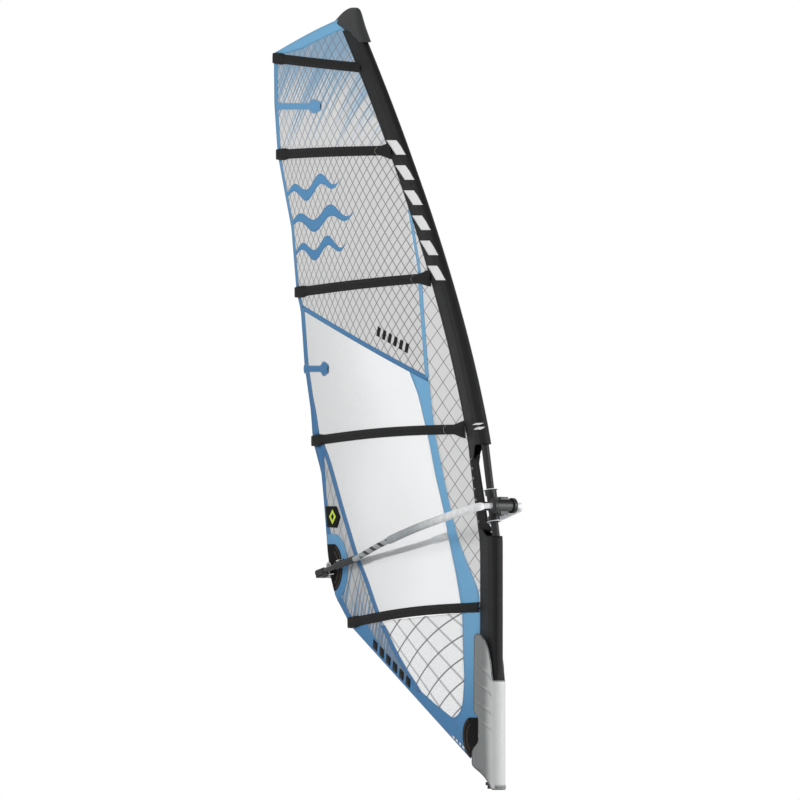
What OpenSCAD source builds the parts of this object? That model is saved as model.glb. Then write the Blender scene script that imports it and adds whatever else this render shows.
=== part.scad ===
// Windsurf sail rig: a five-batten wave sail rigged on a bent two-piece mast,
// with its wishbone boom, mast extension, tack fairing and control lines.
// +X points forward to the mast side, +Y to port, +Z up. The origin is the
// mouth of the socket in the foot of the mast extension.

/* [Mast] */
// Height of the mast tip above the socket
mast_top = 3955; // [3800:5:4100]
// How far the tip bends back from the foot
mast_rake = 1230; // [1000:10:1400]
// Height where the mast starts to bend
bend_start = 1180; // [1100:10:1240]
// Outer radius of the mast, from its foot to the boom
mast_r = 20; // [18:0.5:24]
// Outer radius of the mast tip
tip_r = 9; // [7:0.5:12]
// Wall of the mast tube
mast_wall = 3; // [2:0.5:4]

/* [Sleeve] */
// Distance from the mast's axis back to the sleeve's seam
sleeve_depth = 138; // [120:1:150]
// Half width of the sleeve at the boom
sleeve_r = 32; // [28:0.5:36]
// Half width of the sleeve at the head
sleeve_head_r = 20; // [16:0.5:24]
// Thickness of the sleeve cloth
sleeve_wall = 1.5; // [1:0.1:2]
// Front edge of the sleeve below the boom opening
opening_low = 1295; // [1270:5:1320]
// Front edge of the sleeve above the boom opening
opening_high = 1765; // [1740:5:1780]

/* [Sail] */
// Depth of the sail's curve, to starboard
draft = 28; // [10:1:40]
// Thickness of the sail cloth
cloth = 1.6; // [1:0.1:2]
// Width of a batten pocket
pocket_w = 48; // [40:1:54]
// Thickness of a batten pocket
pocket_t = 13; // [12:0.5:16]
// Radius of a batten rod
batten_r = 3.5; // [2.5:0.5:4]

/* [Boom] */
// Height of the boom's front tube
boom_z = 1450; // [1440:1:1460]
// Distance of the boom's front tube ahead of the foot of the mast
boom_x = 47; // [46:1:50]
// Fall of the boom towards its tail, in degrees
boom_fall = 12.9; // [12:0.1:14]
// Half width of the boom's front loop
loop_half = 152; // [140:1:165]
// Half width of the boom where it is widest
boom_half = 176; // [165:1:200]
// Half distance between the tail tubes
tail_half = 52; // [48:1:56]
// Outer radius of the boom tube
boom_r = 14.5; // [13:0.5:16]
// Outer radius of the boom grip
grip_r = 18.5; // [17:0.5:20]
// Outer radius of the tail tubes
leg_r = 12.5; // [11:0.5:12.5]

/* [Fairing] */
// Outer radius of the fairing in front of the mast
fairing_r = 43; // [41:0.5:46]
// Thickness of the fairing
fairing_wall = 6; // [4:0.5:7]

/* [Foot] */
// Radius of the socket in the foot
socket_r = 10.1; // [8:0.05:12]
// Depth of the socket
socket_depth = 45; // [30:1:50]
// Outer radius of the extension tube
tube_r = 15; // [14:0.5:16]

/* [Hidden] */

$fn = 48;
fit = 0.05;      // radial clearance of a shaft that turns or slides in a bore
gap = 0.4;       // air between neighbours that never touch

// ---------------------------------------------------------------- mast line
straight_low = opening_low - 5;
straight_high = opening_high + 5;
function bent_x(z) = z <= bend_start ? 0
  : -mast_rake * pow((z - bend_start) / (mast_top - bend_start), 1.6);
slope = (bent_x(straight_high) - bent_x(straight_low)) / (straight_high - straight_low);
lean = atan(-slope);
function mast_x(z) = z > straight_low && z < straight_high
  ? bent_x(straight_low) + slope * (z - straight_low) : bent_x(z);
function mix(a, b, t) = a + (b - a) * t;
function clamp01(t) = max(0, min(1, t));
function unit(v) = v / norm(v);
function mast_radius(z) = mix(mast_r, tip_r, clamp01((z - straight_high) / (mast_top - straight_high)));

// ---------------------------------------------------------------- sail outline
// leech, from the clew corner up to the head: [height, x]
LEECH = [[855, -1255], [990, -1372], [1085, -1410], [1215, -1436], [1460, -1467], [1620, -1491],
  [1780, -1562], [1940, -1581], [2165, -1633], [2445, -1665], [2540, -1701], [2870, -1746],
  [3050, -1803], [3245, -1862], [3500, -1890], [3735, -1894], [3765, -1873]];
foot_aft = [-1218, 821];
foot_fore = [-223, 159];
// blue strip along the luff, its left and right edge: [height, x]
STRIP_AFT = [[900, -276], [960, -289], [1095, -323], [1295, -387], [1425, -425], [1605, -493],
  [1795, -552], [1860, -578], [2015, -637], [2110, -697]];
STRIP_FORE = [[945, -144], [1010, -147], [1275, -306], [1445, -374], [1620, -433], [1770, -484],
  [1860, -510], [2100, -552]];
// seam between the windows and the leech cloth
WINDOW_SEAM = [[500, -658], [835, -977], [905, -994], [1070, -1088], [1215, -1190], [1450, -1313],
  [1685, -1428], [1750, -1470], [1790, -1500]];
// seam of the upper luff panel
LUFF_SEAM = [[2125, -570], [2300, -595], [2505, -625], [2650, -646], [2845, -705], [3060, -773]];
// aft edge of the luff panel between the third and fourth battens
LUFF_EDGE = [[1856, -506], [2098, -548], [2126, -567], [2300, -592], [2505, -622], [2600, -636]];
function luff_x(z) = mast_x(z) - sleeve_depth;
function foot_x(z) = mix(foot_fore[0], foot_aft[0], (z - foot_fore[1]) / (foot_aft[1] - foot_fore[1]));
function aft_x(z) = z < 840 ? foot_x(z) : lookup(z, LEECH);
function camber(x, z) =
  let (chord = max(60, luff_x(z) - aft_x(z)), s = clamp01((luff_x(z) - x) / chord))
  -draft * min(1, chord / 900) * sin(180 * pow(s, 0.8));
function on_sail(p, off = 0) = [p[0], camber(p[0], p[1]) + off, p[1]];

// battens, from the head down: tail end, luff end, upward bow
BATTENS = [
  [[-1885, 3733], [-1150, 3684], 0], [[-1856, 3241], [-886, 3262], 3], [[-1698, 2538], [-556, 2613], 4],
  [[-1556, 1780], [-262, 1840], 14], [[-1248, 852], [-143, 932], 16]];
function batten_at(b, t) = [mix(b[0][0], b[1][0], t), mix(b[0][1], b[1][1], t) + b[2] * sin(180 * t)];

// ---------------------------------------------------------------- solids from points
// a closed sheet over a grid of points, rows going up and columns going forward
module sheet(grid, t = cloth) {
  rows = len(grid);
  cols = len(grid[0]);
  n = rows * cols;
  near = [for (row = grid) for (p = row) p - [0, t / 2, 0]];
  far = [for (row = grid) for (p = row) p + [0, t / 2, 0]];
  faces = [
    for (r = [0:rows - 2]) for (c = [0:cols - 2]) let (a = r * cols + c, b = a + cols)
      each [[a, b, b + 1], [a, b + 1, a + 1], [n + a, n + a + 1, n + b + 1], [n + a, n + b + 1, n + b]],
    for (c = [0:cols - 2]) let (a = c, b = (rows - 1) * cols + c)
      each [[a, a + 1, n + a + 1], [a, n + a + 1, n + a], [b + 1, b, n + b], [b + 1, n + b, n + b + 1]],
    for (r = [0:rows - 2]) let (a = r * cols, b = a + cols, e = b - 1, f = e + cols)
      each [[b, a, n + a], [b, n + a, n + b], [e, f, n + f], [e, n + f, n + e]]];
  polyhedron(concat(near, far), faces);
}

// a solid skinned over rings of points that run round the way of travel
module skin(rings) {
  n = len(rings[0]);
  last = len(rings) - 1;
  polyhedron([for (ring = rings) each ring], concat(
    [for (k = [0:last - 1]) for (i = [0:n - 1]) let (a = k * n, b = a + n, j = (i + 1) % n)
      each [[a + i, b + i, b + j], [a + i, b + j, a + j]]],
    [[for (i = [0:n - 1]) i]], [[for (i = [n - 1:-1:0]) last * n + i]]));
}

// a tube skinned over outer rings and inner rings
module shell(outer, inner) {
  n = len(outer[0]);
  last = len(outer) - 1;
  m = n * (last + 1);
  polyhedron(concat([for (ring = outer) each ring], [for (ring = inner) each ring]), concat(
    [for (k = [0:last - 1]) for (i = [0:n - 1]) let (a = k * n, b = a + n, j = (i + 1) % n)
      each [[a + i, b + i, b + j], [a + i, b + j, a + j],
        [m + a + i, m + b + j, m + b + i], [m + a + i, m + a + j, m + b + j]]],
    [for (i = [0:n - 1]) let (j = (i + 1) % n, e = last * n)
      each [[i, j, m + j], [i, m + j, m + i],
        [e + j, e + i, m + e + i], [e + j, m + e + i, m + e + j]]]));
}

function ring(p, d, up, r, sides) =
  let (u = unit(cross(up, d)), v = cross(d, u))
  [for (i = [0:sides - 1]) p + r * (cos(360 * i / sides) * u + sin(360 * i / sides) * v)];
function heading(path, i) = unit(path[min(i + 1, len(path) - 1)] - path[max(i - 1, 0)]);
function rings_along(path, up, r, sides) =
  [for (i = [0:len(path) - 1]) ring(path[i], heading(path, i), up, r, sides)];
// a normal to the path at each point, carried along it without twisting
function carried(path, u, i = 0) = i == len(path) ? []
  : let (d = heading(path, i), here = unit(u - (u * d) * d)) concat([here], carried(path, here, i + 1));
module rope(path, r, up = [0, 1, 0], sides = 8) {
  normals = carried(path, up);
  skin([for (i = [0:len(path) - 1]) let (u = normals[i], v = cross(heading(path, i), u))
    [for (k = [0:sides - 1]) path[i] + r * (cos(360 * k / sides) * u + sin(360 * k / sides) * v)]]);
}
// points of a half turn in a plane of constant y
function turn(cx, cz, r, from, to, y0, y1, steps = 6) =
  [for (i = [0:steps]) let (a = mix(from, to, i / steps)) [cx + r * cos(a), mix(y0, y1, i / steps),
      cz + r * sin(a)]];

// rows of a sail panel between an aft edge and a front edge
function panel_grid(aft, fore, cols, off = 0) =
  [for (r = [0:len(aft) - 1]) [for (c = [0:cols]) on_sail(mix(aft[r], fore[r], c / cols), off)]];
function edge(table, z0, z1, rows, shift = 0) =
  [for (i = [0:rows]) let (z = mix(z0, z1, i / rows)) [lookup(z, table) + shift, z]];
function leech_edge(z0, z1, rows, shift = 0) =
  [for (i = [0:rows]) let (z = mix(z0, z1, i / rows)) [aft_x(z) + shift, z]];
function luff_edge(z0, z1, rows) = [for (i = [0:rows]) let (z = mix(z0, z1, i / rows)) [luff_x(z) - 4, z]];
function line(a, b, rows) = [for (i = [0:rows]) mix(a, b, i / rows)];

// ---------------------------------------------------------------- mast
module bent_tube(z0, z1, r_out, r_in, steps, shrink = 0) {
  path = [for (i = [0:steps]) let (z = mix(z0, z1, i / steps)) [mast_x(z), 0, z]];
  shell([for (i = [0:steps]) ring(path[i], heading(path, i), [0, 1, 0], mast_radius(path[i][2])
      * r_out - shrink, 16)],
    [for (i = [0:steps]) ring(path[i], heading(path, i), [0, 1, 0], mast_radius(path[i][2]) - r_in, 16)]);
}
mast_foot = 190;
joint_z = 2180;
module clamp_axis(z) translate([mast_x(z), 0, z]) rotate([0, -lean, 0]) children();
module mast_lower() {
  color([0.13, 0.13, 0.14]) {
    translate([0, 0, mast_foot]) difference() {
      cylinder(r = mast_r, h = bend_start - mast_foot);
      translate([0, 0, -1]) cylinder(r = tube_r + fit, h = bend_start - mast_foot + 2);
    }
    bent_tube(bend_start - 4, straight_low + 4, 1, mast_wall + 0.6, 5, 0.5);
    clamp_axis(straight_low) difference() {
      cylinder(r = mast_r, h = (straight_high - straight_low) / cos(lean));
      translate([0, 0, -1]) cylinder(r = mast_r - mast_wall, h = (straight_high - straight_low)
          / cos(lean) + 2);
    }
    bent_tube(straight_high - 4, joint_z, 1, mast_wall - 0.6, 8, 0.5);
  }
}
module mast_upper() {
  color([0.13, 0.13, 0.14]) bent_tube(joint_z + 1, mast_top, 1, mast_wall, 20, 0.5);
}
module mast_ferrule() {
  path = [for (i = [0:6]) let (z = mix(joint_z - 110, joint_z + 110, i / 6)) [mast_x(z), 0, z]];
  color([0.25, 0.25, 0.27]) skin([for (i = [0:6])
    ring(path[i], heading(path, i), [0, 1, 0], mast_radius(path[i][2]) - mast_wall - 0.9, 12)]);
}

// ---------------------------------------------------------------- extension
sheave_x = -52;
base_sheave_z = 26;
tack_z = 152;
sheave_y = 8;
turn_r = 11.4;
module extension_tube() {
  color([0.7, 0.7, 0.72]) translate([0, 0, 60]) difference() {
    cylinder(r = tube_r, h = 560);
    translate([0, 0, -1]) cylinder(r = tube_r - 2, h = 562);
  }
}
module extension_collar() {
  color([0.12, 0.12, 0.12]) translate([0, 0, 160]) difference() {
    union() {
      cylinder(r = 26, h = 29.5);
      translate([-4, -34, 8]) cube([8, 14, 14]);
    }
    translate([0, 0, -1]) cylinder(r = tube_r + fit, h = 32);
  }
}
button_z = 18;
module extension_base() {
  color([0.1, 0.1, 0.1]) difference() {
    union() {
      cylinder(r = 25, h = 62);
      translate([-72, -7, 6]) cube([60, 34, 36]);
      translate([sheave_x + 6, 8, 41]) cube([12, 16, 34]);
      translate([-60, -28, 24]) cube([40, 22, 17]);
    }
    translate([0, 0, -1]) cylinder(r = socket_r, h = socket_depth + 1);
    translate([0, 0, 60]) cylinder(r = tube_r + fit, h = 3);
    // slots for the two sheaves
    for (y = [0, 2 * sheave_y]) translate([sheave_x - 16, y - 3.8, -1]) cube([32, 7.6, 60]);
    translate([sheave_x, 0, base_sheave_z]) rotate([90, 0, 0]) cylinder(r = 3, h = 90, center = true);
    // jaws of the line cleat
    translate([sheave_x + turn_r - 2.6, 2 * sheave_y - 2.6, 40]) cube([5.2, 5.2, 40]);
    // bore of the release button
    translate([0, -26, button_z]) rotate([-90, 0, 0]) cylinder(r = 6, h = 15.2);
    // hole that the line's knot sits on
    translate([sheave_x + turn_r, -2 * sheave_y, 20]) cylinder(r = 2.6, h = 30);
    translate([sheave_x + turn_r, -2 * sheave_y, 20]) cylinder(r = 6, h = 8);
  }
}
module sheave() {
  rotate([90, 0, 0]) rotate_extrude() polygon([[3.05, -3.4], [12, -3.4], [12, -2.9], [9, -1], [9, 1],
    [12, 2.9], [12, 3.4], [3.05, 3.4]]);
}
module base_sheave_port() color([0.75, 0.75, 0.75]) translate([sheave_x, 2 * sheave_y, base_sheave_z])
    sheave();
module base_sheave_starboard() color([0.75, 0.75, 0.75]) translate([sheave_x, 0, base_sheave_z]) sheave();
module base_axle() {
  color([0.6, 0.6, 0.62]) translate([sheave_x, 27, base_sheave_z]) rotate([90, 0, 0]) cylinder(r = 3, h = 34);
}
module release_button() {
  color([0.8, 0.12, 0.1]) translate([0, -29, button_z]) rotate([-90, 0, 0]) {
    cylinder(r = 6 - fit, h = 8);
    translate([0, 0, 8]) cylinder(r = 2.5, h = 5);
  }
}
module release_spring() {
  color([0.7, 0.7, 0.7]) translate([0, -20.9, button_z]) rotate([-90, 0, 0]) difference() {
    cylinder(r = 5.2, h = 9.9);
    translate([0, 0, -1]) cylinder(r = 3.6, h = 12);
  }
}
line_front = sheave_x + turn_r;
DOWNHAUL = concat(
  [[line_front, -2 * sheave_y, 28], [line_front, -2 * sheave_y, 60], [line_front, -1.4 * sheave_y, 110]],
  turn(sheave_x, tack_z, turn_r, 0, 180, -sheave_y, -sheave_y),
  [[sheave_x - turn_r, -sheave_y / 2, 90]],
  turn(sheave_x, base_sheave_z, turn_r, 180, 360, 0, 0),
  [[line_front, sheave_y / 2, 90]],
  turn(sheave_x, tack_z, turn_r, 0, 180, sheave_y, sheave_y),
  [[sheave_x - turn_r, 1.5 * sheave_y, 90]],
  turn(sheave_x, base_sheave_z, turn_r, 180, 360, 2 * sheave_y, 2 * sheave_y),
  [[line_front, 2 * sheave_y, 60], [line_front, 2 * sheave_y, 80], [line_front - 2, 2.4 * sheave_y, 104]]);
module downhaul_line() {
  color([0.85, 0.85, 0.82]) {
    rope(DOWNHAUL, 2);
    translate([line_front, -2 * sheave_y, 23.2]) sphere(r = 4.5, $fn = 24);
  }
}

// ---------------------------------------------------------------- tack
module tack_block() {
  color([0.6, 0.6, 0.62]) {
    difference() {
      for (y = [-14, 0, 14]) translate([sheave_x, y, tack_z]) rotate([90, 0, 0]) linear_extrude(2.4,
          center = true)
        hull() { circle(r = 12.5); translate([-8, 44]) square([22, 12], center = true); }
      translate([sheave_x, 0, tack_z]) rotate([90, 0, 0]) cylinder(r = 3, h = 60, center = true);
    }
    translate([sheave_x, 0, tack_z]) rotate([90, 0, 0]) cylinder(r = 3, h = 31, center = true);
    translate([sheave_x - 8, 0, tack_z + 44]) cube([22, 30.4, 10], center = true);
  }
}
module tack_sheave_port() color([0.75, 0.75, 0.75]) translate([sheave_x, sheave_y, tack_z]) sheave_small();
module tack_sheave_starboard() color([0.75, 0.75, 0.75]) translate([sheave_x, -sheave_y, tack_z])
    sheave_small();
module sheave_small() sheave();

// ---------------------------------------------------------------- sleeve
// outline of the sleeve across the mast at height z: [x, y] from the seam round the front
function sleeve_half(z) = z < straight_high ? sleeve_r - 2 * clamp01((1300 - z) / 100)
  : mix(sleeve_r, sleeve_head_r, clamp01((z - straight_high) / (3200 - straight_high)));
function sleeve_ring(z, inset, tilt = 0, grow = 0, depth = sleeve_depth) =
  let (r = sleeve_half(z) - inset + grow, d = depth - 2 * inset + grow, m = mast_x(z),
    lean_here = (mast_x(z - 1) - mast_x(z + 1)) / 2, stretch = sqrt(1 + lean_here * lean_here),
    outline = concat([[-d, max(1.2, 4 - inset)]], [[-d, -max(1.2, 4 - inset)]], [[-0.62 * d, -0.55 * r],
        [-0.3 * d, -0.86 * r]],
      [for (a = [-90:22.5:90]) [r * stretch * cos(a), r * sin(a)]], [[-0.3 * d, 0.86 * r], [-0.62 * d,
          0.55 * r]]))
  [for (p = outline) [m + p[0], p[1], z + tilt * (p[0] + depth)]];
module sleeve_part(levels, tilts) {
  shell([for (i = [0:len(levels) - 1]) sleeve_ring(levels[i], 0, tilts[i])],
    [for (i = [0:len(levels) - 1]) sleeve_ring(levels[i], sleeve_wall, tilts[i])]);
}
module sleeve_upper() {
  levels = concat([1712, 1830], [for (i = [1:11]) mix(1830, 3800, i / 11)]);
  color([0.12, 0.12, 0.13]) sleeve_part(levels, [for (i = [0:len(levels) - 1]) i == 0 ? 0.31 : 0]);
}
module sleeve_lower() {
  color([0.12, 0.12, 0.13]) {
    sleeve_part([235, 700, 1180, 1325], [0, 0, 0, -0.17]);
    sheet([for (i = [0:4]) let (z = mix(1327, 1710, i / 4))
      [for (c = [0:2]) [mast_x(z) - mix(sleeve_depth, mix(54, 76, i / 4), c / 2), 0, z]]], 7);
  }
}
module sleeve_eyelets() {
  color([0.75, 0.75, 0.77]) for (z = [1370, 1425, 1480, 1535, 1590, 1640, 1690])
    translate([mast_x(z) - sleeve_depth + 10, -3.6, z]) rotate([90, 0, 0]) difference() {
      cylinder(r = 6, h = 1.6);
      translate([0, 0, -1]) cylinder(r = 3, h = 4);
    }
}
// the head cap: height, rear end, front, half width
CAP = [[3809, -1178, -1090, 27], [3850, -1262, -1112, 28], [3884, -1312, -1132, 27], [3910, -1398, -1144, 25],
  [3926, -1366, -1152, 23], [3958, -1290, -1172, 19], [3984, -1232, -1186, 11]];
function cap_ring(c, inset) =
  let (r = c[3] - inset, nose = c[2] - r, tail = c[1] + inset)
  concat([[tail, max(1, 3 - inset), c[0]], [tail, -max(1, 3 - inset), c[0]], [mix(tail, nose, 0.5),
      -0.8 * r, c[0]]],
    [for (a = [-90:30:90]) [nose + 1.2 * r * cos(a), r * sin(a), c[0]]], [[mix(tail, nose, 0.5), 0.8 * r,
        c[0]]]);
module head_cap() {
  color([0.11, 0.11, 0.12]) shell([for (c = CAP) cap_ring(c, 0)], [for (c = CAP) cap_ring(c, 3)]);
}

// ---------------------------------------------------------------- sail panels
half_pocket = 2;
function above(b, t) = batten_at(BATTENS[b], t) + [0, half_pocket];
function below(b, t) = batten_at(BATTENS[b], t) - [0, half_pocket];
// rows between two battens, with each end's x taken from the sail's edges
module batten_bay(high, low, rows, cols) {
  sheet([for (r = [0:rows]) let (v = r / rows) [for (c = [0:cols])
    let (t = c / cols, a = above(low, t), b = below(high, t), z = mix(a[1], b[1], v),
      aft = aft_x(mix(above(low, 0)[1], below(high, 0)[1], v)) + 2,
      fore = luff_x(mix(above(low, 1)[1], below(high, 1)[1], v)) - 3)
    on_sail([mix(aft, fore, t), z])]]);
}
module top_panel() {
  color([0.62, 0.74, 0.86]) {
    sheet(panel_grid([[-1886, 3738], [-1873, 3764]], [[luff_x(3695) - 4, 3690], [-1362, 3888]], 5));
    batten_bay(0, 1, 5, 7);
  }
}
// the two bays with a seam near the luff are split there
function seam_mid(z) = lookup(z, LUFF_SEAM);
module upper_panel() {
  rows = 8;
  aft = leech_edge(above(2, 0)[1], below(1, 0)[1], rows, 2);
  fore = [for (i = [0:rows]) let (z = mix(2606, 3258, i / rows)) [min(seam_mid(z) - 2, luff_x(z) - 3), z]];
  color([0.82, 0.82, 0.83]) sheet(panel_grid(aft, fore, 6));
}
module luff_panels() {
  color([0.72, 0.73, 0.75]) {
    sheet(panel_grid(edge(LUFF_SEAM, 2622, 2885, 4, 2), luff_edge(2622, 2885, 4), 1));
    sheet(panel_grid(edge(LUFF_EDGE, 1856, 2600, 8), luff_edge(1850, 2600, 8), 2));
    sheet(panel_grid(edge(STRIP_FORE, 1012, 1822, 8, 7), luff_edge(1024, 1826, 8), 1));
  }
}
module scrim_triangle() {
  color([0.82, 0.82, 0.83]) sheet(panel_grid(
    [for (i = [0:3]) let (z = mix(2468, 2532, i / 3)) [aft_x(z) + 2, z]],
    [for (i = [0:3]) let (z = mix(2110, 2600, i / 3)) [seam_mid(z) - 2, z]], 6));
}
module upper_window() {
  color([0.9, 0.9, 0.92]) sheet(panel_grid(leech_edge(1790, 2455, 6, 2),
    [for (i = [0:6]) let (z = mix(1832, 2130, i / 6)) [lookup(z, STRIP_AFT) - 5, z]], 6));
}
module lower_window() {
  color([0.9, 0.9, 0.92]) sheet(panel_grid(edge(WINDOW_SEAM, 890, 1782, 6, 2),
    edge(STRIP_AFT, 930, 1808, 6, -2), 6));
}
module clew_hole()
  translate([clew[0], 0, clew[1]]) rotate([90, 0, 0]) cylinder(r = clew_barrel + 0.1, h = 40, center = true);
module leech_scrim() {
  color([0.75, 0.8, 0.86]) difference() {
    sheet(panel_grid(leech_edge(868, 1772, 8, 2), edge(WINDOW_SEAM, 884, 1776, 8, -2), 1));
    clew_hole();
  }
}
// seams of the foot, each from its tack end
FILM_AFT = [[-374, 374], [-493, 433], [-642, 504], [-786, 648], [-930, 860]];
FILM_FORE = [[-350, 374], [-301, 391], [-279, 446], [-264, 571], [-281, 910]];
BAND_TOP = [[-377, 361], [-497, 422], [-651, 494], [-834, 599], [-1003, 739], [-1102, 842]];
TACK_AFT = [[-364, 363], [-296, 384], [-272, 443], [-256, 571], [-272, 912]];
TACK_FORE = [[-234, 171], [-166, 228], [-144, 400], [-143, 600], [-143, 922]];
module foot_window() {
  color([0.88, 0.9, 0.92]) sheet(panel_grid(FILM_AFT, FILM_FORE, 5));
}
module foot_band() {
  color([0.2, 0.45, 0.68]) sheet(panel_grid(line([-244, 174], [-1215, 820], 5), BAND_TOP, 2));
}
module tack_panel() {
  color([0.2, 0.45, 0.68]) {
    sheet(panel_grid(TACK_AFT, TACK_FORE, 5));
    sheet(panel_grid(edge(STRIP_AFT, 938, 1812, 8), edge(STRIP_FORE, 944, 1820, 8, -2), 1));
    sheet(panel_grid(edge(STRIP_AFT, 1836, 2125, 4), edge(STRIP_FORE, 1840, 2098, 4, -7), 1));
  }
}
tape_off = -2.6;
module seam_tapes() {
  color([0.13, 0.4, 0.68]) {
    // along the leech
    for (bay = [[876, 1000, 18], [1268, 1748, 18], [1812, 2500, 30], [2572, 3206, 18], [3275, 3700, 18]])
      sheet(panel_grid(leech_edge(bay[0], bay[1], 5, 1), leech_edge(bay[0], bay[1], 5, bay[2]), 1,
          tape_off), 1.2);
    // diagonal over the upper window
    sheet(panel_grid([[-1640, 2443], [-1640, 2467]], [[-590, 2094], [-590, 2118]], 8, tape_off), 1.2);
    // between the windows and the leech cloth
    sheet(panel_grid(edge(WINDOW_SEAM, 900, 1740, 6, -10), edge(WINDOW_SEAM, 900, 1740, 6, 10), 1,
        tape_off), 1.2);
    // beside the luff panels
    for (bay = [[2140, 2560], [2660, 2880]])
      sheet(panel_grid(edge(LUFF_SEAM, bay[0], bay[1], 4, -9), edge(LUFF_SEAM, bay[0], bay[1], 4, 9), 1,
          tape_off),
        1.2);
  }
}

// ---------------------------------------------------------------- patches and rings
clew = [-1420, 1142];
clew_barrel = 15.4;
// half-round patches follow the cloth, one on each side
module half_round(centre, rx, rz, way, wide) {
  steps = 8;
  arc = [for (i = [0:steps]) let (a = mix(-76, 76, i / steps)) [centre[0] + way * rx * cos(a),
      centre[1] + rz * sin(a)]];
  flat = [for (p = arc) [max(centre[0] - way * wide, aft_x(p[1]) + 4), p[1]]];
  for (off = [-patch_off, patch_off])
    sheet(panel_grid(way > 0 ? flat : arc, way > 0 ? arc : [for (p = arc) [centre[0] + wide, p[1]]], 3,
        off), 1.6);
}
patch_off = 4.4;
module clew_patch() color([0.1, 0.1, 0.11]) difference() {
  half_round([-1390, 1135], 88, 122, 1, 30);
  clew_hole();
}
module clew_ring() {
  color([0.75, 0.76, 0.78]) translate([clew[0], 0, clew[1]]) rotate([90, 0, 0]) difference() {
    union() {
      cylinder(r = clew_barrel, h = 12.8, center = true);
      for (side = [-1, 1]) translate([0, 0, side * 7.6]) cylinder(r = 21, h = 2.4, center = true);
    }
    cylinder(r = 11, h = 30, center = true);
  }
}
module tack_patch() color([0.1, 0.1, 0.11]) half_round([-205, 268], 72, 104, -1, 22);
module badge() {
  color([0.08, 0.08, 0.08]) sheet(panel_grid([[-1438, 1341], [-1448, 1392], [-1452, 1446]],
    [[-1347, 1336], [-1317, 1392], [-1351, 1446]], 3, -4.8), 1.2);
}

// ---------------------------------------------------------------- battens
pocket_off = -(pocket_t / 2 + cloth / 2 + 2);
tensioner_l = 62;
// share of a batten's length taken up by its tensioner and a little air
function tensioner_share(b, air) = (tensioner_l + air) / norm(b[0] - b[1]);
function pocket_ring(b, t, w, h) =
  let (p = batten_at(b, t), o = on_sail(p, pocket_off))
  [for (q = [[-0.5, 0], [-0.3, -0.5], [0.3, -0.5], [0.5, 0], [0.3, 0.5], [-0.3, 0.5]])
    [o[0], o[1] + q[1] * h, o[2] - q[0] * w]];
// share of a batten's length at which its pocket stops short of the sleeve
function pocket_share(b) =
  min(0.99, (luff_x(b[1][1] + pocket_w / 2) - 5 - b[0][0]) / (b[1][0] - b[0][0]));
module batten_pockets() {
  color([0.12, 0.12, 0.13])
    for (i = [0:4]) let (b = BATTENS[i], steps = 8, trim = tensioner_share(b, 6), end = pocket_share(b))
    shell([for (k = [0:steps]) pocket_ring(b, mix(trim, end, k / steps), pocket_w, pocket_t)],
      [for (k = [0:steps]) pocket_ring(b, mix(trim, end, k / steps), pocket_w - 5, pocket_t - 3)]);
}
module battens() {
  color([0.2, 0.2, 0.21]) for (i = [0:4]) let (b = BATTENS[i])
    rope([for (k = [0:8]) let (t = mix(tensioner_share(b, 8), pocket_share(b) - 0.01, k / 8))
        on_sail(batten_at(b, t), pocket_off)], batten_r, [0, 1, 0], 6);
}
// a tensioner lies along its batten and along the curve of the sail
module tensioner_place(i) {
  p = on_sail(batten_at(BATTENS[i], 0), pocket_off);
  q = batten_at(BATTENS[i], 1) - batten_at(BATTENS[i], 0);
  inner = on_sail(batten_at(BATTENS[i], tensioner_share(BATTENS[i], 0)), pocket_off);
  translate(p + [3, 0, 0]) rotate([0, -atan2(q[1], q[0]), 0])
    rotate([0, 0, atan2(inner[1] - p[1], tensioner_l)]) children();
}
module batten_tensioners() {
  color([0.1, 0.1, 0.1]) for (i = [0:4]) tensioner_place(i) difference() {
    translate([0, -6.5, -24]) cube([tensioner_l - 3, 13, 48]);
    rotate([0, 90, 0]) translate([0, 0, -1]) cylinder(r = 4.6, h = 46);
  }
}
module tension_screw() {
  color([0.75, 0.75, 0.78]) rotate([0, 90, 0]) {
    difference() {
      cylinder(r = 4.6 - fit, h = 8);
      translate([0, 0, -1]) cylinder(r = 2.3, h = 5, $fn = 6);
    }
    translate([0, 0, 7.5]) cylinder(r = 2.5, h = 34);
  }
}
module tension_screw_1() tensioner_place(0) tension_screw();
module tension_screw_2() tensioner_place(1) tension_screw();
module tension_screw_3() tensioner_place(2) tension_screw();
module tension_screw_4() tensioner_place(3) tension_screw();
module tension_screw_5() tensioner_place(4) tension_screw();
// short battens: height, leech end, knob, front end, half height of the knob
MINIS = [[3487, -1860, -1555, -1458, 30], [2148, -1628, -1483, -1415, 35]];
mini_off = -6;
module mini_battens() {
  color([0.1, 0.3, 0.55]) for (m = MINIS) {
    stations = [[m[1], 17], [m[2], 17], [m[2] + 4, m[4]], [m[3], m[4] - 8]];
    skin([for (s = stations) let (p = on_sail([s[0], m[0]], mini_off))
      [for (q = [[-1, -1], [1, -1], [1, 1], [-1, 1]]) p + [0, q[0] * 2.3, q[1] * s[1]]]]);
  }
}

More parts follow.
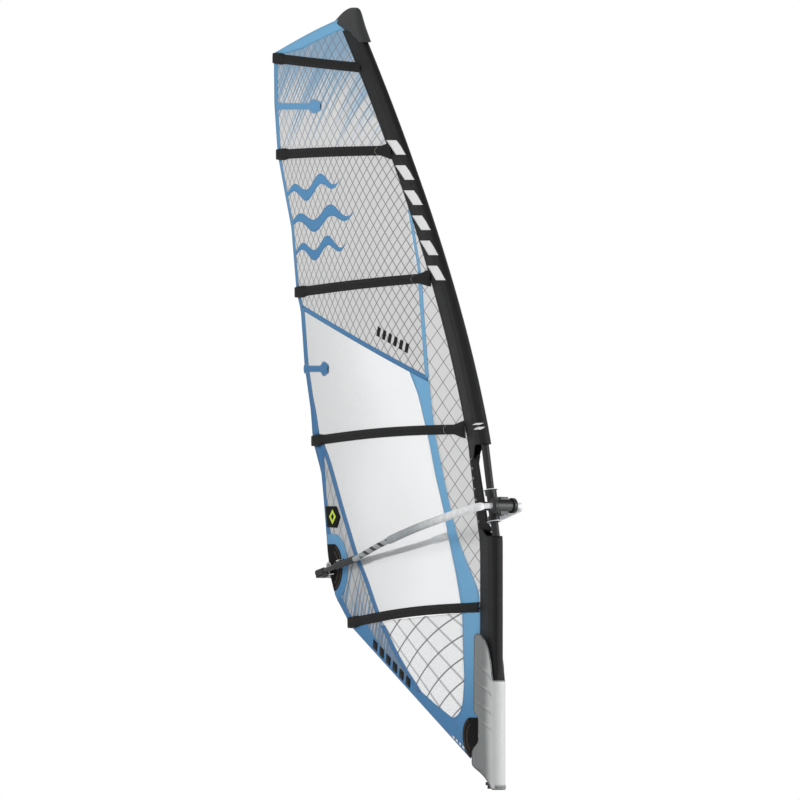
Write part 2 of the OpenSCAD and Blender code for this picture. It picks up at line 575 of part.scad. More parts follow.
// ---------------------------------------------------------------- tack fairing
// rear edge of the fairing's sides: [height, x]
FAIRING_REAR = [[0, -40], [126, -168], [205, -164], [241, -112], [373, -110], [398, -150], [799, -146]];
function fairing_point(s, z, inset) =
  let (r = fairing_r - inset, far = max(0, abs(s) - 0.5) * 2, side = s < 0 ? -1 : 1)
  far == 0 ? [r * cos(s * 180), r * sin(s * 180), z]
    : [mix(0, lookup(z, FAIRING_REAR), far), side * mix(r, 37 - inset, far), z];
function fairing_low(s) = 126 * pow(max(0, abs(s) - 0.4) / 0.6, 1.5);
function fairing_high(s) = abs(s) < 0.3 ? 556 : mix(556, 799, pow((abs(s) - 0.3) / 0.7, 0.7));
module tack_fairing() {
  cols = 20;
  rows = 12;
  span = [for (c = [0:cols]) mix(-1, 1, c / cols)];
  function wall(inset) = [for (r = [0:rows]) [for (s = span)
    fairing_point(s, mix(fairing_low(s), fairing_high(s), r / rows), inset)]];
  color([0.75, 0.76, 0.78]) fairing_shell(wall(0), wall(fairing_wall));
}
module fairing_shell(out, in) {
  rows = len(out);
  cols = len(out[0]);
  n = rows * cols;
  polyhedron(concat([for (row = out) each row], [for (row = in) each row]), concat(
    [for (r = [0:rows - 2]) for (c = [0:cols - 2]) let (a = r * cols + c, b = a + cols)
      each [[a, b, b + 1], [a, b + 1, a + 1], [n + a, n + a + 1, n + b + 1], [n + a, n + b + 1, n + b]]],
    [for (c = [0:cols - 2]) let (a = c, b = (rows - 1) * cols + c)
      each [[a, a + 1, n + a + 1], [a, n + a + 1, n + a], [b + 1, b, n + b], [b + 1, n + b, n + b + 1]]],
    [for (r = [0:rows - 2]) let (a = r * cols, b = a + cols, e = b - 1, f = e + cols)
      each [[b, a, n + a], [b, n + a, n + b], [e, f, n + f], [e, n + f, n + e]]]));
}

// ---------------------------------------------------------------- boom
// places children in the boom's own frame: u aft along the boom, y, w up
module boom_frame() translate([boom_x, 0, boom_z]) rotate([0, -boom_fall, 0]) children();
collar_u = 1222;
collar_l = 160;
leg_inside = 150;
// plan of the port arm behind the front bend: [distance aft, half width]
ARM = [[86, loop_half], [200, loop_half + 16], [350, boom_half - 2], [500, boom_half], [650, boom_half - 12],
  [800, boom_half - 32], [950, boom_half - 60], [1060, boom_half - 88], [1140, tail_half + 15], [1180,
      tail_half + 4],
  [1204, tail_half + 0.4], [collar_u - 0.4, tail_half]];
bend_r = 76;
ARM_PATH = concat(
  [[0, 0, 0], [0, loop_half - bend_r - 2, 0]],
  [for (a = [0:15:90]) [-(bend_r - bend_r * cos(a)), loop_half - bend_r + bend_r * sin(a), 0]],
  [for (p = ARM) [-p[0], p[1], 0]]);
function mirrored(path) = [for (i = [len(path) - 1:-1:1]) [path[i][0], -path[i][1], path[i][2]]];
module boom_tube() {
  color([0.78, 0.79, 0.8]) boom_frame() {
    rope(concat(mirrored(ARM_PATH), [for (i = [1:len(ARM_PATH) - 1]) ARM_PATH[i]]), boom_r, [0, 0, 1], 20);
  }
}
module grip_shell(path) shell(rings_along(path, [0, 0, 1], grip_r, 20), rings_along(path, [0, 0, 1],
    boom_r + gap, 20));
module boom_grips() {
  first = 3;
  last = len(ARM_PATH) - 6;
  path = [for (i = [first:last]) ARM_PATH[i]];
  color([0.86, 0.86, 0.87]) boom_frame() {
    grip_shell(path);
    grip_shell([for (i = [len(path) - 1:-1:0]) [path[i][0], -path[i][1], path[i][2]]]);
  }
}
clip_u = 1330;
module boom_collars() {
  color([0.3, 0.31, 0.33]) boom_frame() for (side = [-1, 1]) difference() {
    union() {
      translate([-collar_u, side * tail_half, 0]) rotate([0, -90, 0]) cylinder(r = 18, h = collar_l);
      for (y = [-10, 10]) translate([-clip_u, side * tail_half + y, 20]) cube([16, 4, 14], center = true);
    }
    translate([-collar_u - 3, side * tail_half, 0]) rotate([0, -90, 0]) cylinder(r = leg_r + fit,
        h = collar_l + 2);
    translate([-clip_u, side * tail_half, 22]) rotate([90, 0, 0]) cylinder(r = 2.05, h = 40, center = true);
    translate([-clip_u - 27, side * tail_half, 10]) cylinder(r = 3.6, h = 20);
  }
}
module tail_clip(side) {
  color([0.86, 0.87, 0.88]) boom_frame() translate([-clip_u, side * tail_half, 22]) {
    rotate([90, 0, 0]) cylinder(r = 2, h = 23.6, center = true);
    difference() {
      translate([-36, -7, -1.4]) cube([39, 14, 5]);
      translate([-33, -5, 1.6]) cube([16, 10, 4]);
    }
    translate([-27, 0, -8]) cylinder(r = 3.2, h = 8);
  }
}
module tail_clip_starboard() tail_clip(-1);
module tail_clip_port() tail_clip(1);
leg_end = 1500;
leg_start = collar_u + collar_l - leg_inside;
module tail_legs() {
  color([0.1, 0.1, 0.1]) boom_frame() for (side = [-1, 1])
    translate([-leg_start, side * tail_half, 0]) rotate([0, -90, 0]) difference() {
      cylinder(r = leg_r, h = leg_end - leg_start);
      translate([0, 0, -1]) cylinder(r = leg_r - 2, h = 400);
      for (hole = [0:3]) translate([0, 0, clip_u + 27 - 25 * hole - leg_start]) rotate([0, -90, 0])
          cylinder(r = 3.6, h = 20);
    }
}
tail_wheel = [-1530, 0, -10];
cheek_in = 16;
cleat_w = -29;
knot_w = 6;
module tail_end() {
  color([0.1, 0.1, 0.11]) boom_frame() difference() {
    union() {
      for (side = [-1, 1]) {
        translate([-1482, side * tail_half, 0]) rotate([0, -90, 0]) cylinder(r = 17, h = 60);
        translate([-1554, side > 0 ? cheek_in : -tail_half - 2, -22]) cube([56, tail_half + 2 - cheek_in,
            38]);
      }
      translate([-1557, -tail_half - 2, -22]) cube([8, 2 * tail_half + 4, 38]);
      translate([-1496, -tail_half - 7, cleat_w - 5]) cube([40, 14, 20]);
    }
    for (side = [-1, 1]) translate([-1450, side * tail_half, 0]) rotate([0, -90, 0]) cylinder(r = leg_r,
        h = leg_end - 1450 + 0.2);
    translate(tail_wheel) rotate([90, 0, 0]) cylinder(r = 3, h = 200, center = true);
    // jaws of the outhaul cleat
    translate([-1500, -tail_half - 2.7, cleat_w - 11]) cube([60, 5.4, 13.7]);
    // hole that the line is knotted through
    translate([-1564, 27, knot_w]) rotate([0, 90, 0]) cylinder(r = 2.8, h = 90);
  }
}
module tail_sheave() color([0.75, 0.75, 0.75]) boom_frame() translate(tail_wheel) rotate([90, 0, 0])
  rotate_extrude() polygon([[3.05, -9], [15, -9], [15, -7], [11, -4], [11, 4], [15, 7], [15, 9], [3.05, 9]]);
module tail_axle() color([0.6, 0.6, 0.62]) boom_frame()
  translate(tail_wheel) rotate([90, 0, 0]) cylinder(r = 3, h = 2 * tail_half, center = true);

// the outhaul, in the boom's frame: from its knot through the clew ring and round the sheave to the cleat
clew_local = [-(cos(boom_fall) * (boom_x - clew[0]) + sin(boom_fall) * (boom_z - clew[1])), 0,
  -(cos(boom_fall) * (boom_z - clew[1]) - sin(boom_fall) * (boom_x - clew[0]))];
groove = 14.3;
OUTHAUL = concat(
  [[-1558, 27, knot_w], [-1500, 27, knot_w], [-1489, 24, knot_w + 4], [-1489, 18, 15],
    [clew_local[0] + 6, 11, clew_local[2] - 3], [clew_local[0] + 1, 0, clew_local[2] - 4],
    [clew_local[0] - 4, -11.5, clew_local[2] - 4], [clew_local[0] - 13, -14, clew_local[2] - 9], [-1521,
        -9, 11]],
  [for (a = [90:30:270]) [tail_wheel[0] + groove * cos(a), -1.5, tail_wheel[2] + groove * sin(a)]],
  [[-1521, -9, -27], [-1514, -28, cleat_w], [-1507, -45, cleat_w], [-1500, -tail_half, cleat_w],
    [-1450, -tail_half, cleat_w], [-1408, -tail_half, cleat_w - 5]]);
module outhaul_line() color([0.85, 0.86, 0.84]) boom_frame() {
  rope(OUTHAUL, 2.3, [0, 0, 1], 8);
  translate([-1562.9, 27, knot_w]) sphere(r = 4.6, $fn = 24);
}

// ---------------------------------------------------------------- boom head
barrel_half = 72;
barrel_r = 30;
module along_mast(offset) clamp_axis(boom_z) translate([0, 0, offset]) children();
saddle_h = 168;
ring_r = 30;
bore_r = mast_r + 2.4;
eye = [boom_x - 8, boom_z - 42];
eye_r = 4;
module head_body() {
  color([0.22, 0.23, 0.25]) difference() {
    union() {
      along_mast(-saddle_h / 2) cylinder(r = ring_r, h = saddle_h);
      translate([boom_x, 0, boom_z]) rotate([90, 0, 0]) cylinder(r = barrel_r, h = 2 * barrel_half,
          center = true);
      along_mast(-32) translate([0, -28, 0]) cube([72, 56, 64]);
      translate([boom_x - 20, -6, boom_z - 52]) cube([25, 12, 30]);
    }
    translate([eye[0], 0, eye[1]]) rotate([90, 0, 0]) cylinder(r = eye_r, h = 30, center = true);
    along_mast(-saddle_h) cylinder(r = bore_r, h = 2 * saddle_h);
    // rear of the saddle is open between the jaws
    along_mast(-saddle_h) translate([-80, -12, 0]) cube([80, 24, 2 * saddle_h]);
    along_mast(-54) translate([-80, -80, 0]) cube([80.5, 160, 108]);
    translate([boom_x, 0, boom_z]) rotate([90, 0, 0]) cylinder(r = boom_r + 0.5, h = 300, center = true);
    // front half of the barrel is the cap's place
    translate([boom_x + 6, -100, boom_z - 50]) cube([60, 200, 100]);
  }
}
module barrel_cap() {
  color([0.2, 0.21, 0.23]) difference() {
    union() {
      translate([boom_x, 0, boom_z]) rotate([90, 0, 0]) cylinder(r = barrel_r, h = 2 * barrel_half,
          center = true);
      for (z = [-38, 38]) translate([boom_x + 12, 0, boom_z + z]) cube([12, 46, 14], center = true);
      translate([boom_x + 10, 0, boom_z]) cube([8, 46, 70], center = true);
    }
    translate([boom_x, 0, boom_z]) rotate([90, 0, 0]) cylinder(r = boom_r + 0.5, h = 300, center = true);
    translate([boom_x - 54, -100, boom_z - 60]) cube([60.4, 200, 120]);
  }
}
module head_gasket() {
  color([0.08, 0.08, 0.08]) along_mast(-saddle_h / 2) difference() {
    cylinder(r = bore_r - 0.05, h = saddle_h);
    translate([0, 0, -1]) cylinder(r = mast_r + fit, h = saddle_h + 2);
    translate([-80, -12, -1]) cube([80, 24, saddle_h + 2]);
  }
}
lever_pin = [-14, -40];
module head_strap() {
  color([0.12, 0.12, 0.12]) along_mast(-22) difference() {
    union() {
      cylinder(r = bore_r + 5, h = 44);
      translate([lever_pin[0], lever_pin[1], 0]) cylinder(r = 8, h = 44);
      translate([-20, -40, 0]) cube([12, 17, 44]);
    }
    translate([0, 0, -1]) cylinder(r = bore_r + 0.3, h = 46);
    translate([0.1, -80, -1]) cube([80, 160, 46]);
    translate([lever_pin[0], lever_pin[1], -1]) cylinder(r = 3, h = 46);
    translate([lever_pin[0] - 12, lever_pin[1] - 20, 10]) cube([40, 30.4, 24]);
  }
}
module head_pin() color([0.7, 0.7, 0.72]) along_mast(-22) translate([lever_pin[0], lever_pin[1], 0])
    cylinder(r = 3, h = 44);
module head_lever() {
  color([0.16, 0.17, 0.18]) along_mast(-11.4) translate([lever_pin[0], lever_pin[1], 0]) difference() {
    union() {
      cylinder(r = 8, h = 22.8);
      translate([0, -8, 0]) cube([64, 8, 22.8]);
    }
    translate([0, 0, -1]) cylinder(r = 3 + fit, h = 30);
    translate([40, -9, 6]) cube([16, 10, 10.8]);
  }
}

mast_lower();
mast_upper();
mast_ferrule();
extension_tube();
extension_collar();
extension_base();
base_sheave_port();
base_sheave_starboard();
base_axle();
release_button();
release_spring();
downhaul_line();
tack_block();
tack_sheave_port();
tack_sheave_starboard();
sleeve_upper();
sleeve_lower();
sleeve_eyelets();
head_cap();
top_panel();
upper_panel();
luff_panels();
scrim_triangle();
upper_window();
lower_window();
leech_scrim();
foot_window();
foot_band();
tack_panel();
seam_tapes();
clew_patch();
clew_ring();
tack_patch();
badge();
batten_pockets();
battens();
batten_tensioners();
mini_battens();
tension_screw_1();
tension_screw_2();
tension_screw_3();
tension_screw_4();
tension_screw_5();
tack_fairing();
head_body();
barrel_cap();
head_gasket();
head_strap();
head_lever();
head_pin();
boom_tube();
boom_grips();
boom_collars();
tail_clip_starboard();
tail_clip_port();
tail_legs();
tail_end();
tail_sheave();
tail_axle();
outhaul_line();
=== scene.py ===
"""Looks of a windsurf sail rig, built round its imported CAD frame.

Metres, in the frame's own axes: +X forward to the mast, +Y port, +Z up.
The sail's lines below are those that the CAD parts are made from.
"""
import math

import bpy
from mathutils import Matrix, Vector


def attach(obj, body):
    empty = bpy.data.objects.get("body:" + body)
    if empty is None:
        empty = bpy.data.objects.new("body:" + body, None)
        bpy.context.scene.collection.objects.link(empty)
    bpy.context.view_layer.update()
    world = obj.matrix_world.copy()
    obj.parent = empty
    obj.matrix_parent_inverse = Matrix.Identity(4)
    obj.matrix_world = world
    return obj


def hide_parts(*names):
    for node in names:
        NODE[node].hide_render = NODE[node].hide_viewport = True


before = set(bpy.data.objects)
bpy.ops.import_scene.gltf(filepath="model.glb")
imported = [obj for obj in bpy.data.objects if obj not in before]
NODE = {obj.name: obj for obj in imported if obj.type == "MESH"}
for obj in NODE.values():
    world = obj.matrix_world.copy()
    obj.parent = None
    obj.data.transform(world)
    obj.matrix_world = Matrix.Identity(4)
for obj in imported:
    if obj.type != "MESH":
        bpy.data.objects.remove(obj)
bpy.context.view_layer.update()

# ------------------------------------------------------------------ camera, light and floor
VIEW_CENTRE = Vector((-0.2968, -0.3958, 1.989))
VIEW_SIDE = Vector((0.8, -0.6, 0.0))
VIEW_WIDTH, VIEW_DISTANCE = 4.08, 12
SAIL_MIDDLE = (-0.6, 0, 1.9)


def aim(thing, place, target):
    thing.location = place
    thing.rotation_euler = (Vector(target) - Vector(place)).to_track_quat("-Z", "Y").to_euler()
    bpy.context.scene.collection.objects.link(thing)


def add_camera():
    data = bpy.data.cameras.new("camera")
    data.type = "ORTHO"
    data.ortho_scale = VIEW_WIDTH
    data.clip_end = 5 * VIEW_DISTANCE
    camera = bpy.data.objects.new("camera", data)
    aim(camera, VIEW_CENTRE + VIEW_DISTANCE * VIEW_SIDE, VIEW_CENTRE)
    bpy.context.scene.camera = camera


def add_lamp(name, place, size, power):
    data = bpy.data.lights.new(name, "AREA")
    data.shape = "RECTANGLE"
    data.size, data.size_y = size
    data.energy = power
    aim(bpy.data.objects.new(name, data), place, SAIL_MIDDLE)


add_camera()

# ------------------------------------------------------------------ lines of the rig
MAST_TOP, MAST_RAKE, BEND_START = 3.955, 1.230, 1.180
STRAIGHT_LOW, STRAIGHT_HIGH = 1.290, 1.770
# SLEEVE_DEPTH runs from the middle of the mast to the seam behind it
SLEEVE_DEPTH, SLEEVE_R, SLEEVE_HEAD_R = 0.138, 0.032, 0.020
DRAFT = 0.028
# thicknesses, and how far sewn layers lie from the middle of the cloth
CLOTH, FILM, TAPE, PRINT = 0.0014, 0.0006, 0.001, 0.0004
SEAM_STEP, POCKET_STEP, MINI_STEP = 0.0016, 0.0024, 0.0022
PATCH_STEP, SURROUND_STEP = 0.0036, 0.0021
FOOT_AFT, FOOT_FORE = (-1.218, 0.821), (-0.223, 0.159)
HEAD_AFT, HEAD_FORE = (-1.873, 3.765), (-1.345, 3.930)

# edges as (height, x), going up
LEECH = [(0.855, -1.255), (0.990, -1.372), (1.085, -1.410), (1.215, -1.436), (1.460, -1.467),
         (1.620, -1.491), (1.780, -1.562), (1.940, -1.581), (2.165, -1.633), (2.445, -1.665),
         (2.540, -1.701), (2.870, -1.746), (3.050, -1.803), (3.245, -1.862), (3.500, -1.890),
         (3.735, -1.894), (3.765, -1.873)]
STRIP_AFT = [(0.900, -0.276), (0.960, -0.289), (1.095, -0.323), (1.295, -0.387), (1.425, -0.425),
             (1.605, -0.493), (1.795, -0.552), (1.860, -0.578), (2.015, -0.637), (2.110, -0.697),
             (2.145, -0.720)]
STRIP_FORE = [(0.945, -0.144), (1.010, -0.147), (1.275, -0.306), (1.445, -0.374), (1.620, -0.433),
              (1.770, -0.484), (1.860, -0.510), (2.100, -0.552)]
# seams and tapes in the same way; the leech tape's second column is its width
WINDOW_SEAM = [(0.500, -0.645), (0.600, -0.752), (0.700, -0.842), (0.835, -0.944), (0.905, -0.994),
               (1.070, -1.088), (1.215, -1.190), (1.450, -1.313), (1.685, -1.428),
               (1.750, -1.470), (1.790, -1.500)]
LUFF_SEAM = [(2.090, -0.560), (2.125, -0.570), (2.300, -0.595), (2.505, -0.625), (2.650, -0.646),
             (2.845, -0.705), (3.060, -0.773)]
LEECH_TAPE = [(0.86, 0.045), (1.00, 0.050), (1.26, 0.050), (1.34, 0.034), (1.50, 0.026),
              (1.62, 0.034), (1.68, 0.052), (1.72, 0.080), (1.76, 0.096), (1.80, 0.062),
              (2.00, 0.034), (2.46, 0.030), (2.56, 0.022), (3.20, 0.024), (3.30, 0.030),
              (3.72, 0.034)]

# battens from the head down: tail end, luff end, upward bow, half width of the luff flare
BATTENS = [((-1.885, 3.733), (-1.150, 3.684), 0.000, 0.026),
           ((-1.856, 3.241), (-0.886, 3.262), 0.003, 0.045),
           ((-1.698, 2.538), (-0.556, 2.613), 0.004, 0.045),
           ((-1.556, 1.780), (-0.262, 1.840), 0.014, 0.046),
           ((-1.248, 0.852), (-0.143, 0.932), 0.016, 0.026)]


def mix(a, b, t):
    return a + (b - a) * t


def steps(low, high, count):
    """count + 1 places spaced evenly from low to high."""
    return [mix(low, high, i / count) for i in range(count + 1)]


def clamp01(t):
    return max(0.0, min(1.0, t))


def ease(t):
    t = clamp01(t)
    return t * t * (3 - 2 * t)


def read(table, at):
    """The second column of a table at a value of its first."""
    if at <= table[0][0]:
        return table[0][1]
    for (a, x), (b, y) in zip(table, table[1:]):
        if at <= b:
            return mix(x, y, (at - a) / (b - a))
    return table[-1][1]


def faired(table, at, reach=0.025):
    """A table read with its corners rounded."""
    return sum(read(table, at + k * reach) for k in (-1, -0.5, 0, 0.5, 1)) / 5


def bent_x(z):
    if z <= BEND_START:
        return 0.0
    return -MAST_RAKE * ((z - BEND_START) / (MAST_TOP - BEND_START)) ** 1.6


LEAN = (bent_x(STRAIGHT_HIGH) - bent_x(STRAIGHT_LOW)) / (STRAIGHT_HIGH - STRAIGHT_LOW)


def mast_x(z):
    if STRAIGHT_LOW < z < STRAIGHT_HIGH:
        return bent_x(STRAIGHT_LOW) + LEAN * (z - STRAIGHT_LOW)
    return bent_x(z)


def luff_x(z):
    return mast_x(z) - SLEEVE_DEPTH


def foot_z(x):
    return mix(FOOT_FORE[1], FOOT_AFT[1], (x - FOOT_FORE[0]) / (FOOT_AFT[0] - FOOT_FORE[0]))


def foot_x(z):
    return mix(FOOT_FORE[0], FOOT_AFT[0], (z - FOOT_FORE[1]) / (FOOT_AFT[1] - FOOT_FORE[1]))


def leech_x(z):
    return foot_x(z) if z < 0.84 else read(LEECH, z)


def camber(x, z):
    chord = max(0.06, luff_x(z) - leech_x(z))
    share = clamp01((luff_x(z) - x) / chord)
    return -DRAFT * min(1, chord / 0.9) * math.sin(math.pi * share ** 0.8)


def on_sail(x, z, off=0.0):
    """A point of the sail, off towards port."""
    return Vector((x, camber(x, z) + off, z))


def line_z(a, b):
    return lambda x: mix(a[1], b[1], (x - a[0]) / (b[0] - a[0]))


def batten_z(number):
    tail, luff, bow, _ = BATTENS[number]
    def height(x):
        t = (x - tail[0]) / (luff[0] - tail[0])
        return mix(tail[1], luff[1], t) + bow * math.sin(math.pi * clamp01(t))
    return height


head_z = line_z(HEAD_AFT, HEAD_FORE)
diagonal_z = line_z((-1.660, 2.463), (-0.575, 2.101))


def edge(table):
    return lambda z: faired(table, z)


def before_luff(side):
    """A side edge that stops at the luff."""
    return lambda z: min(side(z), luff_x(z) + 0.004)


def to_luff(z):
    return luff_x(z) + 0.006


def under_cap(z):
    return luff_x(z) + 0.022


def to_leech(z):
    return leech_x(z) + 0.001


# ------------------------------------------------------------------ grids of points
BAY_ROUNDS = 12


def bay(aft, fore, low, high, rows, cols):
    """A panel between two side edges, x at a height, and two ends, height at an x."""
    grid = []
    for r in range(rows + 1):
        row = []
        for c in range(cols + 1):
            x = -1.0
            for _ in range(BAY_ROUNDS):
                z = mix(low(x), high(x), r / rows)
                x = mix(aft(z), fore(z), c / cols)
            row.append(on_sail(x, z))
        grid.append(row)
    return grid


def spread(points, count):
    """count points evenly along a line of (x, z) points with rounded corners."""
    lengths = [0.0]
    for a, b in zip(points, points[1:]):
        lengths.append(lengths[-1] + math.dist(a, b))
    total = lengths[-1]
    across = [list(zip(lengths, [p[k] for p in points])) for k in (0, 1)]
    out = []
    for i in range(count):
        at = total * i / (count - 1)
        reach = min(at, total - at, 0.03)
        out.append(tuple(faired(side, at, reach) for side in across))
    return out


def between(aft, fore, rows, cols):
    """A panel between two lines of (x, z) points that go the same way."""
    return [[on_sail(mix(p[0], q[0], c / cols), mix(p[1], q[1], c / cols)) for c in range(cols + 1)]
            for p, q in zip(spread(aft, rows + 1), spread(fore, rows + 1))]


def ribbon(table, half, low, high, rows):
    """A tape of a half width along an edge table."""
    return [[on_sail(faired(table, z) + s * half, z) for s in (-1, 0, 1)]
            for z in steps(low, high, rows)]


def shifted(grid, off):
    return [[p + Vector((0, off, 0)) for p in row] for row in grid]


def grid_area(grid):
    area = 0.0
    for low, high in zip(grid, grid[1:]):
        for a, b, c, d in zip(low, low[1:], high[1:], high):
            area += ((b - a).cross(c - a).length + (c - a).cross(d - a).length) / 2
    return area


def grid_size(grid):
    """The longest row and the longest column."""
    across = max(sum((b - a).length for a, b in zip(row, row[1:])) for row in grid)
    columns = list(zip(*grid))
    along = max(sum((b - a).length for a, b in zip(col, col[1:])) for col in columns)
    return across, along


# ------------------------------------------------------------------ meshes
def piece(name, points, faces, material, body="root", smooth=True):
    mesh = bpy.data.meshes.new(name)
    mesh.from_pydata([tuple(p) for p in points], [], faces)
    mesh.materials.append(material)
    for polygon in mesh.polygons:
        polygon.use_smooth = smooth
    mesh.update()
    thing = bpy.data.objects.new(name, mesh)
    bpy.context.scene.collection.objects.link(thing)
    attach(thing, body)
    return thing


def grid_faces(rows, cols, start=0, wrap=False):
    """Faces of a grid of points; wrap joins the last column to the first."""
    faces = []
    for r in range(rows - 1):
        for c in range(cols if wrap else cols - 1):
            a, b = start + r * cols + c, start + r * cols + (c + 1) % cols
            faces.append((a, b, b + cols, a + cols))
    return faces


def thicken(thing, thickness, offset=0.0):
    solid = thing.modifiers.new("thickness", "SOLIDIFY")
    solid.thickness, solid.offset = thickness, offset
    return thing


def cloth(name, grids, material, replaced=(), thickness=CLOTH):
    """A stretched sheet sewn from one or more grids."""
    points, faces = [], []
    for grid in grids:
        faces += grid_faces(len(grid), len(grid[0]), len(points))
        points += [p for row in grid for p in row]
    thing = thicken(piece(name, points, faces, material), thickness)
    area = sum(grid_area(grid) for grid in grids)
    sizes = [grid_size(grid) for grid in grids]
    across, along = max(s[0] for s in sizes), sum(s[1] for s in sizes)
    # a tapered sheet's flat width is at most what leaves it two fifths full
    flat = (min(across, area / along / 0.4), along)
    if replaced:
        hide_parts(*replaced)


def loft(name, rings, material, body="root", caps=True, smooth=True):
    """A closed body skinned over rings of points."""
    count = len(rings[0])
    points = [p for ring in rings for p in ring]
    faces = grid_faces(len(rings), count, wrap=True)
    if caps:
        faces.append(tuple(range(count))[::-1])
        faces.append(tuple(range(len(points) - count, len(points))))
    return piece(name, points, faces, material, body, smooth)


def rings_along(path, radius, sides=24, up=(0, 0, 1)):
    """Round rings along a path, carried without twist."""
    normal = Vector(up)
    rings = []
    for i, p in enumerate(path):
        way = (path[min(i + 1, len(path) - 1)] - path[max(i - 1, 0)]).normalized()
        normal = (normal - way * normal.dot(way)).normalized()
        other = way.cross(normal)
        r = radius(i) if callable(radius) else radius
        turn = [math.tau * k / sides for k in range(sides)]
        rings.append([p + r * (math.cos(a) * normal + math.sin(a) * other) for a in turn])
    return rings


def rounded_path(points, step=0.02):
    """Points along a Catmull-Rom curve through the given points."""
    path = []
    for i in range(len(points) - 1):
        a, b, c, d = (points[max(0, min(len(points) - 1, i + k))] for k in (-1, 0, 1, 2))
        count = max(1, round((c - b).length / step))
        for k in range(count):
            t = k / count
            path.append(0.5 * (2 * b + (c - a) * t + (2 * a - 5 * b + 4 * c - d) * t * t
                               + (3 * b - a - 3 * c + d) * t ** 3))
    return path + [points[-1]]


# a thread is a small ridge: two corners at each end and two on its crown
STITCH_PITCH, STITCH_LENGTH, STITCH_RISE = 0.008, 0.0052, 0.0008
STITCH_FACES = [(0, 1, 5, 4), (4, 5, 3, 2), (0, 2, 3, 1), (0, 4, 2), (1, 3, 5)]


def stitches(name, runs, material, width=0.0011):
    """Short threads laid along runs of points, each run with the way its threads stand."""
    points, faces = [], []
    for run, out in runs:
        out = Vector(out)
        left = STITCH_PITCH / 2
        for a, b in zip(run, run[1:]):
            span = (b - a).length
            way = (b - a).normalized() if span else Vector((1, 0, 0))
            side = way.cross(out).normalized()
            while left < span:
                middle = a + way * left
                start = len(points)
                for end, lift in ((-1, 0.0), (1, 0.0), (0, STITCH_RISE)):
                    points += [middle + way * end * STITCH_LENGTH / 2 + side * s * width / 2
                               + out * lift for s in (-1, 1)]
                faces += [tuple(start + i for i in corners) for corners in STITCH_FACES]
                left += STITCH_PITCH
            left -= span
    piece(name, points, faces, material, smooth=False)


def proud(run, lift, side=-1):
    """A run for stitches, lifted off the cloth towards starboard (-1) or port (1)."""
    return [p + Vector((0, side * lift, 0)) for p in run], (0, side, 0)


# ------------------------------------------------------------------ shader benches
class Term:
    """One value in a node tree. Sums, products and the like add Math nodes."""

    def __init__(self, bench, socket):
        self.bench, self.socket = bench, socket

    def __add__(self, other):
        return self.bench.math("ADD", self, other)

    def __sub__(self, other):
        return self.bench.math("SUBTRACT", self, other)

    def __rsub__(self, other):
        return self.bench.math("SUBTRACT", other, self)

    def __mul__(self, other):
        return self.bench.math("MULTIPLY", self, other)

    def __truediv__(self, other):
        return self.bench.math("DIVIDE", self, other)

    def __rtruediv__(self, other):
        return self.bench.math("DIVIDE", other, self)

    def __abs__(self):
        return self.bench.math("ABSOLUTE", self)


class Bench:
    """Adds nodes to one node tree."""

    def __init__(self, tree):
        self.tree = tree

    def add(self, kind, **settings):
        made = self.tree.nodes.new("ShaderNode" + kind)
        for key, value in settings.items():
            setattr(made, key, value)
        return made

    def feed(self, socket, value):
        if isinstance(value, Term):
            self.tree.links.new(value.socket, socket)
        else:
            socket.default_value = value

    def source(self, kind, output, inputs=None, **settings):
        """An output of a new node whose inputs are given by name."""
        made = self.add(kind, **settings)
        for label, value in (inputs or {}).items():
            self.feed(made.inputs[label], value)
        return Term(self, made.outputs[output])

    def math(self, operation, *values):
        made = self.add("Math", operation=operation)
        for socket, value in zip(made.inputs, values):
            self.feed(socket, value)
        return Term(self, made.outputs[0])

    def fract(self, value):
        return self.math("FRACT", value)

    def ramp(self, value, low, high, to_low=0.0, to_high=1.0):
        made = self.add("MapRange", interpolation_type="SMOOTHSTEP")
        for socket, v in zip(made.inputs, (value, low, high, to_low, to_high)):
            self.feed(socket, v)
        return Term(self, made.outputs[0])

    def blend(self, share, first, second, way="MIX"):
        made = self.add("Mix", data_type="RGBA", blend_type=way)
        # a Mix node's colour sockets come after its number and vector sockets
        for place, value in ((0, share), (6, first), (7, second)):
            self.feed(made.inputs[place], value)
        return Term(self, made.outputs[2])

    def noise(self, where, scale, detail=3.0, roughness=0.5):
        return self.source("TexNoise", "Fac", {"Vector": where, "Scale": scale, "Detail": detail,
                                               "Roughness": roughness})

    def split(self, where):
        made = self.add("SeparateXYZ")
        self.feed(made.inputs[0], where)
        return [Term(self, output) for output in made.outputs]

    def join(self, x, y, z):
        return self.source("CombineXYZ", "Vector", {"X": x, "Y": y, "Z": z})


def new_group(name, outputs, **numbers):
    """A node group fed with a place and some numbers: its tree, bench, inputs and outputs."""
    tree = bpy.data.node_groups.new(name, "ShaderNodeTree")
    tree.interface.new_socket("Where", in_out="INPUT", socket_type="NodeSocketVector")
    for label, value in numbers.items():
        socket = tree.interface.new_socket(label, in_out="INPUT", socket_type="NodeSocketFloat")
        socket.default_value = value
    for label in outputs:
        tree.interface.new_socket(label, in_out="OUTPUT", socket_type="NodeSocketFloat")
    bench = Bench(tree)
    inside = list(tree.nodes.new("NodeGroupInput").outputs)[:1 + len(numbers)]
    outside = tree.nodes.new("NodeGroupOutput").inputs
    return tree, bench, [Term(bench, socket) for socket in inside], outside


